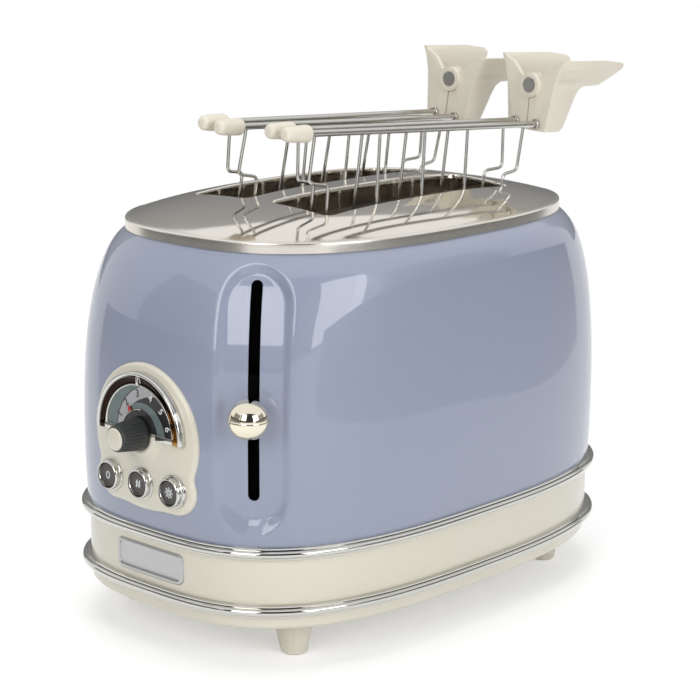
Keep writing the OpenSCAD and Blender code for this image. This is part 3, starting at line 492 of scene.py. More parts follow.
def plate_steel(name, colour):
    """The top plate's steel: mirror dome inside a satin rim."""
    f = Finish(name)
    up = f.split(f.place())[2]
    dome = up.edge(0.2158, 0.0009)
    haze = f.noise(40, 3)
    lines = f.noise(700, 2, (0.15, 0.15, 6.0))
    rough = (1 - dome) * (lines * 0.1 + 0.2) + dome * (haze * 0.03 + 0.055)
    return f.set(Base_Color=f.blend(haze, darker(colour, 0.97), colour), Metallic=1.0, Roughness=rough,
                 Normal=f.bump(lines * (1 - dome), 0.05, 0.0002))


def dial_print(name):
    """The browning dial's print: spiral bands round the knob."""
    f = Finish(name)
    _, y, z = f.split(f.place())
    y, z = y * 1000, (z - DIAL_Z * MM) * 1000
    r = f.node("ShaderNodeMath", {"operation": "SQRT"}, (y * y + z * z,))
    a = f.node("ShaderNodeMath", {"operation": "ARCTAN2"}, (z, y)) * (180 / math.pi)
    outer = a * a * 0.00083 + 17.2
    upper = (a - 50) * (a - 50) * 0.0019 + 14.4
    lower = a * 0.033 + 12.9
    past = a.edge(56, 4)
    line = 0.12
    pale, green, black = tint(172, 172, 174), tint(104, 118, 118), tint(30, 27, 26)
    colour = f.blend(r.edge(outer, line), pale, green)
    on_line = (r - outer + 0.25).edge(0, line) * (outer + 0.25 - r).edge(0, line) * (1 - a.edge(86, 3))
    colour = f.blend(on_line, colour, black)
    colour = f.blend((upper - r).edge(0, line) * past, colour, black)
    colour = f.blend((lower - r).edge(0, line) * a.edge(64, 3), colour, green)
    colour = f.blend(1 - r.edge(12.8, line), colour, tint(40, 40, 40))
    haze = f.noise(90, 2)
    return f.set(Base_Color=colour, Roughness=haze * 0.1 + 0.22, Coat_Weight=0.5, Coat_Roughness=0.08)


def dial_trim_painted_reflections(name):
    """Chrome whose deep cove has painted reflections in its colour: dark, warming to gold towards the right."""
    f = Finish(name)
    _, y, z = f.split(f.place())
    y, z = y * 1000, (z - DIAL_Z * MM) * 1000
    r = f.node("ShaderNodeMath", {"operation": "SQRT"}, (y * y + z * z,))
    # mask of the cove, where the painted reflections go
    cove = r.edge(BEZEL_R - 6.3, 0.5) * (1 - r.edge(BEZEL_R - 2.2, 0.6))
    cove = cove * (y * y).edge(1.6, 0.8)
    warm = (y * -1).edge(24, 7)
    # painted reflection colours: dark brown in the cove, turning gold towards the right
    dark = f.blend(warm, tint(40, 30, 24), tint(168, 126, 66))
    haze = f.noise(60, 3)
    return f.set(Base_Color=f.blend(cove, tint(206, 205, 200), dark), Metallic=1.0, Roughness=haze * 0.03 + 0.05)


FINISH = {}


def make_finishes(look):
    FINISH.update(
        paint=gloss_paint("shell_gloss_paint", tuple(look.paint)),
        cream=cream_enamel("cream_enamel", tuple(look.cream)),
        chrome=bright_metal("trim_chrome", tint(206, 205, 200), 0.03, 0.03),
        # the dial trim's finish has painted reflections in the colour of its cove
        trim=dial_trim_painted_reflections("dial_trim_chrome_painted_reflections"),
        warm=bright_metal("lever_ball_chrome", tint(236, 228, 208), 0.03, 0.03),
        plate=plate_steel("polished_top_plate", tint(226, 221, 212)),
        badge=drawn_steel("brushed_badge", tint(190, 190, 190), 0.3, (1.0, 6.0, 6.0)),
        wire=drawn_steel("bright_wire", tint(205, 203, 198), 0.2, (2.0, 2.0, 2.0), 0.05),
        steel=drawn_steel("plain_steel", tint(168, 167, 165), 0.38, (1.0, 4.0, 4.0)),
        tray=drawn_steel("tray_aluminium", tint(196, 197, 198), 0.34, (0.5, 5.0, 5.0)),
        handle=moulded("tong_handle_plastic", tuple(look.handle), 0.42),
        dark=moulded("knob_plastic", tint(34, 38, 38), 0.36, 1800.0, 0.25),
        key=moulded("button_plastic", tint(66, 61, 58), 0.38, 1800.0, 0.3),
        mark=moulded("mark_paint", tint(226, 229, 229), 0.5),
        ink=moulded("number_ink", tint(24, 22, 22), 0.45),
        red=moulded("pointer_red", tint(190, 52, 50), 0.45),
        dial=dial_print("dial_print"),
        mica=moulded("mica_board", tint(196, 184, 158), 0.6, 300.0),
        board=moulded("circuit_board_lacquer", tint(30, 84, 52), 0.4, 400.0, 0.3),
        copper=bright_metal("wound_copper", tint(190, 116, 72), 0.25, 0.15),
        rubber=moulded("gland_rubber", tint(38, 38, 38), 0.65),
    )


CAD_FINISHES = {
    "paint": ["shell"], "plate": ["top_plate"],
    "chrome": ["upper_ring", "lower_ring", "dial_bezel", "button_bezels"], "badge": ["badge_plate"],
    "cream": ["base_band", "base_pan", "feet", "control_plate", "knob_cap"],
    "steel": ["foot_screws", "carriage", "near_bread_rack", "far_bread_rack", "front_frame", "rear_frame", "lever_arm",
              "return_spring", "near_tong_spring", "far_tong_spring"],
    "tray": ["crumb_tray"], "rubber": ["cord_gland"], "dark": ["dial_knob"], "dial": ["dial_face"],
    "key": ["stop_button", "reheat_button", "defrost_button"], "board": ["circuit_board"], "copper": ["latch_magnet"],
    "warm": ["lever_ball"],
    "wire": ["dial_shaft", "guide_rod", "near_outer_guard", "near_inner_guard", "far_inner_guard", "far_outer_guard"]
            + [f"{s}_tong_{p}" for s in ("near", "far") for p in ("pin", "front_jaw", "back_jaw")],
    "mica": ["near_outer_heater", "near_inner_heater", "far_inner_heater", "far_outer_heater"],
    "handle": [f"{s}_tong_{e}_{p}" for s in ("near", "far") for e in ("front", "back") for p in ("handle", "cap")],
}


# ------------------------------------------------------------------ settings
class ToasterLook(bpy.types.PropertyGroup):
    paint: FloatVectorProperty(name="Shell paint", description="Colour of the painted shell", subtype="COLOR", size=3,
                               default=tint(144, 152, 173), min=0, max=1)
    cream: FloatVectorProperty(name="Cream", description="Colour of the band, base and control plate", subtype="COLOR",
                               size=3, default=tint(222, 217, 200), min=0, max=1)
    handle: FloatVectorProperty(name="Tong handles", description="Colour of the tongs' handles and caps",
                                subtype="COLOR", size=3, default=tint(232, 225, 208), min=0, max=1)


class ToasterSizes(bpy.types.PropertyGroup):
    paint_t: FloatProperty(name="Shell thickness", description="Thickness of the shell's sheet", subtype="DISTANCE",
                           unit="LENGTH", default=0.001, min=0.0007, max=0.0016)
    edge_round: FloatProperty(name="Handle edges", description="Rounding of the tong handles' edges",
                              subtype="DISTANCE", unit="LENGTH", default=0.0008, min=0.0003, max=0.0012)
    bend: FloatProperty(name="Wire bends", description="Radius of the bends in the tongs' wires", subtype="DISTANCE",
                        unit="LENGTH", default=0.003, min=0.001, max=0.005)


# ------------------------------------------------------------------ pieces
def columns():
    """Angles round the shell, closer together across the recess."""
    out, n = [], 256
    for k in range(n):
        t = 2 * math.pi * k / n
        p = Vector(plan_point(SHELL_HALF_L, SHELL_HALF_W, FOOT_FULL, t))
        near = p.dot(LEVER_U) > 0 and abs(p.dot(LEVER_T) - LEVER_OFFSET) < RECESS_R + 4
        out += [t + i * 2 * math.pi / n / 3 for i in range(3)] if near else [t]
    return out


def on_lever(u, v, h):
    """u up, v across and h out along the lever's line."""
    p = LEVER_C + LEVER_T * v + LEVER_U * h
    return p.x, p.y, u


def on_panel(u, v, h):
    """u to the left of the panel, v up and h out of the control plate's face, from the dial's axis."""
    return FACE_X - h, u, DIAL_Z + v


def on_button(i):
    return lambda u, v, h: (FACE_X - h, i * BUTTON_PITCH + u, BUTTON_Z + v)


class TOASTER_OT_shell(bpy.types.Operator):
    """Painted shell with its pressed lever recess and slot"""
    bl_idname = "toaster.shell"
    bl_label = "Shell"

    def execute(self, context):
        angles = columns()
        n, up = len(angles), 84
        fractions = [1 - (1 - k / up) ** 2.0 for k in range(up + 1)]
        floors = [lever_exit(f) - RECESS_DEPTH for f in fractions]
        ledge = [2.5, 7.0]

        def place(i, j):
            if j > up:
                inset = ledge[j - up - 1]
                x, y = plan_point(TOP_HALF_L - inset, TOP_HALF_W - inset, TOP_FULL, angles[i % n])
                return x, y, PLATE_Z - 0.1 * (j - up)
            f = fractions[j]
            a, b, full = shell_half(f)
            p = Vector(plan_point(a, b, full, angles[i % n]))
            z = SHELL_Z + f * SHELL_H
            p -= LEVER_U * max(0.0, p.dot(LEVER_U) - floors[j]) * recess_pull(p.dot(LEVER_T) - LEVER_OFFSET, z)
            return p.x, p.y, z
        piece = sheet(n, up + 2, place)
        apply(piece, "SOLIDIFY", thickness=context.scene.toaster_sizes.paint_t, offset=-1, use_even_offset=False)
        r = LEVER_SLOT_W / 2
        stadium = arc(SLOT_TOP_Z - r, 0, r, -90, 90, 12) + arc(SLOT_LOW_Z + r, 0, r, 90, 270, 12)
        holes = [block(ring_of(6.9), -8, 8, on_panel)]
        holes += [block(ring_of(BUTTON_D / 2 + 0.7), -8, 8, on_button(i)) for i in (-1, 0, 1)]
        cut(piece, block(spaced(stadium, 6), 90, 190, on_lever), *holes)
        soft(piece, 32)
        settle(piece, "shell_skin", FINISH["paint"], "housing", "shell")
        return {"FINISHED"}


def plate_cut(grow, low=190, high=250):
    return [block(rounded(SLOT_L + 2 * grow, SLOT_W + 2 * grow, 5 + grow, at=(SLOT_X, s * SLOT_Y)), low, high,
                  lambda x, y, z: (x, y, z)) for s in (-1, 1)]


class TOASTER_OT_top_plate(bpy.types.Operator):
    """Polished top plate with a satin rim and two slots with rolled flanges"""
    bl_idname = "toaster.top_plate"
    bl_label = "Top plate"

    def execute(self, context):
        a, b = TOP_HALF_L + PLATE_OVER, TOP_HALF_W + PLATE_OVER
        rim = [(0.35, PLATE_Z), (0.0, PLATE_Z + 0.4), (0.0, PLATE_Z + 3)]
        rim += [(RIM_ROUND - q[0], q[1]) for q in arc(0, DOME_Z - RIM_ROUND, RIM_ROUND, 0, 80, 6)]
        dome = [1 - (k / 40) ** 0.9 for k in range(1, 40)] + [0.004]
        n, m = 256, len(rim)

        def place(i, j):
            t = 2 * math.pi * i / n
            if j < m:
                inset, z = rim[j]
                return (*plan_point(a - inset, b - inset, TOP_FULL, t), z)
            q = dome[j - m]
            x, y = plan_point((a - RIM_ROUND) * q, (b - RIM_ROUND) * q, TOP_FULL, t)
            return x, y, DOME_Z + DOME_H * (1 - q ** 3)
        piece = sheet(n, m + len(dome) - 1, place)
        apply(piece, "SOLIDIFY", thickness=0.9 * MM, offset=-1, use_even_offset=False)
        cut(piece, *plate_cut(1.1))
        soft(piece, 30)
        parts = [piece]
        for s in (-1, 1):
            edge = spaced(rounded(SLOT_L, SLOT_W, 5.0, 8, at=(0, 0)), 4)
            def along(i, j, s=s, edge=edge):
                x, y = edge[i % len(edge)]
                k = FLANGE_ROLL[j]
                nx = min(1, max(-1, (abs(x) - (SLOT_L / 2 - 5)) / 5)) if abs(x) > SLOT_L / 2 - 5 else 0
                ny = min(1, max(-1, (abs(y) - (SLOT_W / 2 - 5)) / 5)) if abs(y) > SLOT_W / 2 - 5 else 0
                out = Vector((math.copysign(nx, x), math.copysign(ny, y)))
                out = out.normalized() * FLANGE_W * (1 - k[0]) if out.length else Vector((0, 0))
                px, py = SLOT_X + x + out.x, s * SLOT_Y + y + out.y
                top = dome_height(px, py)
                if k[1] < 1.0:
                    return px, py, top - k[1] * 1.3
                low = DOME_Z - FLANGE_DROP
                return px, py, top - 1.3 - (top - 1.3 - low) * (k[1] - 1) / 9
            lip = sheet(len(edge), 11, along)
            soft(lip, 50)
            parts.append(lip)
        settle(join(parts), "top_plate_skin", FINISH["plate"], "housing", "top_plate")
        return {"FINISHED"}


def plan_trim(profile, n=256, a=BAND_HALF_L, b=BAND_HALF_W):
    """A closed profile of (out, up) carried round the base."""
    closed = profile + profile[:1]

    def place(i, j):
        out, z = closed[j]
        return (*plan_point(a + out, b + out, FOOT_FULL, 2 * math.pi * i / n), z)
    return sheet(n, len(closed) - 1, place)


class TOASTER_OT_base(bpy.types.Operator):
    """Chrome rings, cream band, base pan, feet and the bare badge plate"""
    bl_idname = "toaster.base"
    bl_label = "Base"

    def execute(self, context):
        for name, z in (("upper_ring", BAND_TOP), ("lower_ring", SKIRT_TOP)):
            mid, lip = z + RING_H / 2, 2.6
            profile = [(-0.6, z), (lip - 0.5, z), (lip, z + 0.35), (lip, z + 0.85), (lip - 0.35, z + 1.15),
                       (lip + 0.1, z + 1.3)]
            profile += arc(RING_PROUD - 2.05, mid, 2.05, -68, 68, 12)
            profile += [(lip + 0.1, z + RING_H - 1.3), (lip - 0.35, z + RING_H - 1.15), (lip, z + RING_H - 0.85),
                        (lip, z + RING_H - 0.35), (lip - 0.5, z + RING_H), (-0.6, z + RING_H)]
            piece = plan_trim(profile)
            soft(piece, 38)
            settle(piece, f"{name}_trim", FINISH["chrome"], "housing", name)
        band = plan_trim([(-BAND_T, SKIRT_TOP), (0, SKIRT_TOP), (0, BAND_LOW), (0.35, BAND_LOW + 4),
                          (0.5, BAND_LOW + 12),
                          (0.35, BAND_TOP - 4), (0, BAND_TOP), (0, SHELL_Z), (-BAND_T, SHELL_Z)])
        cut(band, block(ring_of(5.0), 120, 170, lambda u, v, h: (h, u, BAND_LOW + 12 + v)))
        soft(band, 30)
        settle(band, "band_skin", FINISH["cream"], "housing", "base_band")
        self.pan()
        self.feet()
        self.badge()
        return {"FINISHED"}

    def pan(self):
        n, wall, floor = 256, 2.2, 2.0
        rows = [(-2.6, FOOT_H)] + [(q[0], q[1]) for q in arc(-2.6, FOOT_H + 2.6, 2.6, -78, 0, 7)]
        rows += [(0, SKIRT_TOP), (-wall, SKIRT_TOP), (-wall, FOOT_H + floor)]

        def place(i, j):
            t = 2 * math.pi * i / n
            if j == 0:
                return 0, 0, FOOT_H
            if j == len(rows) + 1:
                return 0, 0, FOOT_H + floor
            out, z = rows[j - 1]
            return (*plan_point(BAND_HALF_L + out, BAND_HALF_W + out, FOOT_FULL, t), z)
        pan = sheet(n, len(rows) + 1, place)

        def flat(x, y, z):
            return x, y, z
        cutters = [block([(120, -46.3), (180, -46.3), (180, 46.3), (120, 46.3)], FOOT_H + floor, FOOT_H + 30, flat)]
        low, high = FOOT_H - 2, FOOT_H + 8
        cutters += [block(rounded(4, 40, 1.9, 6, at=(SLOT_X + i * 18, 0)), low, high, flat) for i in range(-3, 4)]
        cutters += [block(ring_of(2.3, 24, (x * FOOT_X, y * FOOT_Y)), low, high, flat)
                    for x in (-1, 1) for y in (-1, 1)]
        cut(pan, *cutters)
        soft(pan, 30)
        settle(pan, "pan_skin", FINISH["cream"], "housing", "base_pan")

    def feet(self):
        settle(softened("feet", 0.7), "feet_skin", FINISH["cream"], "housing", "feet")

    def badge(self):
        steps = [(0, -0.4), (0, 0.9), (0.25, 1.35), (0.7, 1.6), (1.7, 1.6), (2.1, 1.45), (2.35, 0.85), (2.8, 0.7),
                 (5.2, 0.7),
                 (8.25, 0.7)]
        outlines = []
        for d, _ in steps:
            corners, edge = rounded(BADGE_L - 2 * d, BADGE_H - 2 * d, max(0.0, 4 - d), 8), []
            for k, p in enumerate(corners):
                q = corners[(k + 1) % len(corners)]
                parts = 16 if k % 9 == 8 else 1
                edge += [(p[0] + (q[0] - p[0]) * i / parts, p[1] + (q[1] - p[1]) * i / parts) for i in range(parts)]
            outlines.append(edge)
        n = len(outlines[0])

        def place(i, j):
            y, z = outlines[j][i % n]
            x = -BAND_HALF_L * (1 - abs(y / BAND_HALF_W) ** FOOT_FULL[1]) ** (1 / FOOT_FULL[0])
            return x - steps[j][1], y, BAND_LOW + 12 + z
        piece = sheet(n, len(steps) - 1, place)
        edit(piece)
        bpy.ops.mesh.select_all(action="DESELECT")
        bpy.ops.mesh.select_non_manifold()
        bpy.ops.mesh.fill()
        bpy.ops.object.mode_set(mode="OBJECT")
        soft(piece, 35)
        settle(piece, "badge_blank", FINISH["badge"], "housing", "badge_plate")


def panel_reach(angle, z0=PANEL_MID_Z):
    """Distance from the panel's middle to its outline in one direction."""
    dy, dz = math.cos(angle), math.sin(angle)

    def inside(r):
        y, z = abs(r * dy), z0 + r * dz
        fan = math.hypot(y, z - (DIAL_Z - 2.4)) - FAN_R
        row = math.hypot(max(0.0, y - BUTTON_PITCH), z - BUTTON_Z) - 13.0
        k = 3.0
        h = max(0.0, k - abs(fan - row)) / k
        return min(fan, row) - h * h * k / 4 < 0
    lo, hi = 0.0, 80.0
    for _ in range(26):
        mid = (lo + hi) / 2
        lo, hi = (mid, hi) if inside(mid) else (lo, mid)
    return lo


class TOASTER_OT_panel(bpy.types.Operator):
    """Control plate, dial with its print, knob and the three buttons"""
    bl_idname = "toaster.panel"
    bl_label = "Control panel"

    def execute(self, context):
        self.plate()
        self.dial()
        self.knob()
        self.buttons()
        return {"FINISHED"}

    def plate(self):
        n = 240
        reach = [panel_reach(2 * math.pi * k / n) for k in range(n)]
        steps = [(0.0, -0.6), (0.0, 0.8), (0.12, 1.2), (0.45, 1.65), (0.95, 1.98), (1.7, 2.16), (3.0, 2.2), (6.0, 2.2)]
        shares = [0.82, 0.66, 0.5, 0.34, 0.18, 0.05, 0.0]

        def place(i, j):
            r = reach[i % n]
            if j < len(steps):
                r, h = r - steps[j][0], steps[j][1]
            else:
                r, h = max(0.0, r - 6) * shares[j - len(steps)] / 0.82 * 0.9, PANEL_T
            y, z = r * math.cos(2 * math.pi * i / n), PANEL_MID_Z + r * math.sin(2 * math.pi * i / n)
            return end_x(y, z) - h, y, z
        piece = sheet(n, len(steps) + len(shares) - 1, place)
        soft(piece, 40)
        boss = turned([(8.8, 1.5), (9.3, 2.0), (10.6, 2.15), (11.6, 1.9), (12.6, 1.25), (13.8, 0.55), (15.2, 0.05),
                       (16.4, -0.3)],
                      on_panel, 48, 180, 360)
        soft(boss, 60)
        settle(join([piece, boss]), "control_plate_skin", FINISH["cream"], "housing", "control_plate")

    def dial(self):
        r0 = BEZEL_R - BEZEL_W
        cove = [(BEZEL_R, -1.5), (BEZEL_R, 1.5), (BEZEL_R - 0.15, 2.3), (BEZEL_R - 0.5, 2.85), (BEZEL_R - 1.0, 3.05),
                (BEZEL_R - 1.5, 2.9), (BEZEL_R - 1.9, 2.45), (BEZEL_R - 2.4, 1.9), (BEZEL_R - 3.2, 1.35),
                (BEZEL_R - 4.2, 0.95), (BEZEL_R - 5.2, 0.8), (r0 + 1.4, 0.8), (r0 + 1.2, 1.1), (r0 + 1.0, 1.6),
                (r0 + 0.7, 1.85), (r0 + 0.35, 1.8), (r0 + 0.1, 1.5), (r0, 1.0), (r0, -1.5)]
        moon = turned(cove, on_panel, 96, 0, 180)
        soft(moon, 50)
        parts = [moon]
        for s in (-1, 1):
            bar = block(rounded(BEZEL_R - 12.6, 3.0, 0.5, 4, at=(s * (BEZEL_R + 12.6) / 2, 0)), -1.5, 2.1, on_panel)
            apply(bar, "BEVEL", width=0.45 * MM, segments=3, limit_method="ANGLE", angle_limit=math.radians(60))
            soft(bar, 40)
            parts.append(bar)
        rib = block(rounded(1.7, BEZEL_W - 1.8, 0.4, 4, at=(0, r0 + 0.6 + (BEZEL_W - 1.8) / 2)), -1.5, 2.3, on_panel)
        apply(rib, "BEVEL", width=0.4 * MM, segments=3, limit_method="ANGLE", angle_limit=math.radians(60))
        soft(rib, 40)
        parts.append(rib)
        trim = turned([(11.9, 0.4), (11.95, 1.1), (12.2, 1.35), (12.5, 1.1), (12.55, 0.4)], on_panel, 48, 6, 96)
        soft(trim, 60)
        parts.append(trim)
        # the trim takes the finish with painted reflections in its cove
        settle(join(parts), "dial_trim", FINISH["trim"], "housing", "dial_bezel")

        rows = [3.6, 9.2, 12.8, 16.0, 20.0, r0 + 0.2]

        def face(i, j):
            a = math.pi * i / 96
            r = rows[j]
            return on_panel(r * math.cos(a), max(1.2, r * math.sin(a)), 0.55 if r > 12.7 else 0.9)
        disc = sheet(96, len(rows) - 1, face)
        soft(disc, 20)
        settle(disc, "dial_print_face", FINISH["dial"], "housing", "dial_face")
        pale, dark = [], []
        for k, (angle, r) in enumerate(((26, 16.8), (55, 17.6), (86, 20.3), (113, 21.0), (139, 21.2), (165, 21.4))):
            clear()
            bpy.ops.object.text_add()
            digit = bpy.context.object
            digit.data.body = str(k + 1)
            digit.data.size = 5.4
            digit.data.offset = 0.06
            digit.data.align_x, digit.data.align_y = "CENTER", "CENTER"
            digit.data.extrude = 0.04
            bpy.ops.object.convert(target="MESH")
            digit = bpy.context.object
            t = math.radians(angle)
            for point in digit.data.vertices:
                x, y, h = point.co
                u = (r + y) * math.cos(t) - x * math.sin(t)
                v = (r + y) * math.sin(t) + x * math.cos(t)
                point.co = Vector(on_panel(u, v, 0.62 + h)) * MM
            weld(digit, 0.0005)
            (dark if k < 3 else pale).append(digit)
        settle(join(dark), "dial_numbers_dark", FINISH["ink"], "housing")
        settle(join(pale), "dial_numbers_pale", FINISH["mark"], "housing")
        t = math.radians(58)
        tip = [(15.6, 0.0), (13.2, 1.1), (12.2, 0.9), (12.2, -0.9), (13.2, -1.1)]
        tip = [(r * math.cos(t) - w * math.sin(t), r * math.sin(t) + w * math.cos(t)) for r, w in tip]
        pointer = block(tip, 1.0, 1.5, on_panel)
        settle(pointer, "dial_pointer", FINISH["red"], "dial")

    def knob(self):
        flutes, per = 26, 6
        r0, r1, foot = KNOB_D / 2, KNOB_D * 0.38, 1.7
        heights = [0.0, 0.0, 0.25, 0.7, 1.3, 2.0, 4, 7, 10, 12.5, 14.0, 14.8, 15.2, KNOB_L, KNOB_L]

        def place(i, j):
            a = 2 * math.pi * i / (flutes * per)
            h = heights[j]
            r = r0 + (r1 - r0) * h / KNOB_L
            if j == 0:
                r = 3.0
            elif j == 1:
                r -= 0.6
            elif j == 2:
                r -= 0.2
            elif j == 12:
                r -= 0.12
            elif j == 13:
                r -= 0.45
            elif j == 14:
                r = 5.7
            depth = 0.34 * ease((h - 1.4) / 1.5) * ease((KNOB_L - 0.3 - h) / 1.2)
            groove = max(0.0, math.cos(a * flutes)) ** 1.5
            r -= depth * groove
            return on_panel(r * math.cos(a), r * math.sin(a), foot + h)
        body = sheet(flutes * per, len(heights) - 1, place)
        soft(body, 40)
        settle(body, "knob_body", FINISH["dark"], "dial", "dial_knob")
        cap = turned([(0.0, KNOB_L - 1.5), (5.9, KNOB_L - 1.5), (5.9, KNOB_L + 0.45), (5.78, KNOB_L + 0.8),
                      (5.4, KNOB_L + 1.05),
                      (4.0, KNOB_L + 1.25), (2.0, KNOB_L + 1.35), (0.0, KNOB_L + 1.4)],
                     lambda u, v, h: on_panel(u, v, foot + h), 64)
        soft(cap, 45)
        settle(cap, "knob_cap_skin", FINISH["cream"], "dial", "knob_cap")
        edge = turned([(5.85, KNOB_L - 0.5), (6.35, KNOB_L - 0.5), (6.35, KNOB_L + 0.35), (6.1, KNOB_L + 0.6),
                       (5.85, KNOB_L + 0.5)],
                      lambda u, v, h: on_panel(u, v, foot + h), 64)
        soft(edge, 45)
        settle(edge, "knob_edge", FINISH["dark"], "dial")

    def buttons(self):
        r1, r0 = BUTTON_BEZEL_D / 2, BUTTON_D / 2 + 0.15
        rings = [(r0, -3), (r1, -3), (r1, 0.35), (r1 - 0.15, 0.7), (r1 - 0.5, 0.85), (r1 - 0.95, 0.75),
                 (r1 - 1.05, 1.0),
                 (r1 - 1.0, 2.2), (r1 - 1.1, 2.9), (r1 - 1.4, 3.4), (r1 - 1.75, 3.6), (r1 - 2.05, 3.5),
                 (r0 + 0.35, 3.1),
                 (r0 + 0.1, 2.75), (r0, 2.3), (r0, -3)]
        made = []
        for i in (-1, 0, 1):
            made.append(turned(rings, on_button(i), 72))
            soft(made[-1], 45)
        settle(join(made), "button_trims", FINISH["chrome"], "housing", "button_bezels")
        r = BUTTON_D / 2
        cap = [(0.0, -12.6), (3.1, -12.6), (3.1, -8.6), (r, -8.6), (r, 2.1), (r - 0.12, 2.5), (r - 0.4, 2.75),
               (r - 0.8, 2.8),
               (r - 1.15, 2.7), (r - 1.3, 2.45), (r - 1.5, 2.45), (r - 1.7, 2.6), (r - 3.2, 2.5), (1.5, 2.42),
               (0.0, 2.4)]
        for i, body in ((1, "stop"), (0, "reheat"), (-1, "defrost")):
            key = turned(cap, on_button(i), 64)
            soft(key, 40)
            settle(key, f"{body}_key", FINISH["key"], f"{body}_key", f"{body}_button")
        oval = [(1.15 * math.cos(a), 1.75 * math.sin(a)) for a in (2 * math.pi * k / 28 for k in range(28))]
        settle(self.ribbon(oval, 0.55, on_button(1), True), "stop_mark", FINISH["mark"], "stop_key")
        waves = [self.ribbon([(s * 0.95 + 0.28 * math.sin(v * 2.1),
                               v * 0.62) for v in (-3 + 0.4 * k for k in range(16))],
                             0.95, on_button(0)) for s in (-1, 1)]
        settle(join(waves), "reheat_mark", FINISH["mark"], "reheat_key")
        arms = []
        for k in range(4):
            c, s = math.cos(math.pi * k / 4), math.sin(math.pi * k / 4)
            arms.append(self.ribbon([(-3.0 * c, -3.0 * s), (3.0 * c, 3.0 * s)], 0.55, on_button(-1)))
        for k in range(8):
            c, s = math.cos(math.pi * k / 4), math.sin(math.pi * k / 4)
            arms.append(self.ribbon([(2.2 * c - 0.7 * s, 2.2 * s + 0.7 * c), (2.2 * c + 0.7 * s, 2.2 * s - 0.7 * c)],
                                    0.45, on_button(-1)))
        settle(join(arms), "defrost_mark", FINISH["mark"], "defrost_key")

    def ribbon(self, points, width, where, closed=False):
        """A thin raised line on a button's face."""
        n = len(points)

        def place(i, j):
            p = Vector(points[i % n])
            q = Vector(points[(i + 1) % n] if closed or i < n - 1 else points[i % n])
            o = Vector(points[(i - 1) % n] if closed or i > 0 else points[0])
            along = (q - o).normalized()
            side = Vector((-along.y, along.x)) * width / 2
            s, h = ((-1, 2.35), (1, 2.35), (1, 2.66), (-1, 2.66), (-1, 2.35))[j]
            return where(p.x + side.x * s, p.y + side.y * s, h)
        return sheet(n if closed else n - 1, 4, place)


class TOASTER_OT_lever(bpy.types.Operator):
    """The lever's bright ball with its seam"""
    bl_idname = "toaster.lever"
    bl_label = "Lever ball"

    def execute(self, context):
        s = lever_exit((BALL_Z - SHELL_Z) / SHELL_H) - RECESS_DEPTH + BALL_STAND
        p = LEVER_C + LEVER_U * s
        r = BALL_D / 2
        profile = [(r * math.cos(a), r * math.sin(a)) for a in (math.radians(-90 + 86.6 * k / 22) for k in range(23))]
        profile += [(r + 0.12, -0.5), (r + 0.28, -0.35), (r + 0.3, 0.0), (r + 0.2, 0.25), (r - 0.05, 0.32),
                    (r - 0.05, 0.45)]
        profile += [(r * math.cos(a), r * math.sin(a)) for a in (math.radians(3.4 + 86.6 * k / 22) for k in range(23))]
        ball = turned(profile, lambda u, v, h: (p.x + u, p.y + v, BALL_Z + h), 72)
        soft(ball, 40)
        settle(ball, "lever_ball_skin", FINISH["warm"], "lever_carriage", "lever_ball")
        return {"FINISHED"}


def tong_frame(side):
    place, turn = PLACES[side]
    a, b, c = (math.radians(v) for v in turn)
    at = Matrix.Translation(place) @ Matrix.Rotation(c, 4, "Z")
    return at @ Matrix.Rotation(b, 4, "Y") @ Matrix.Rotation(a, 4, "X")


def rods_at(x):
    return ROD_AT_CAP + (ROD_AT_HANDLE - ROD_AT_CAP) * x / TONG_L


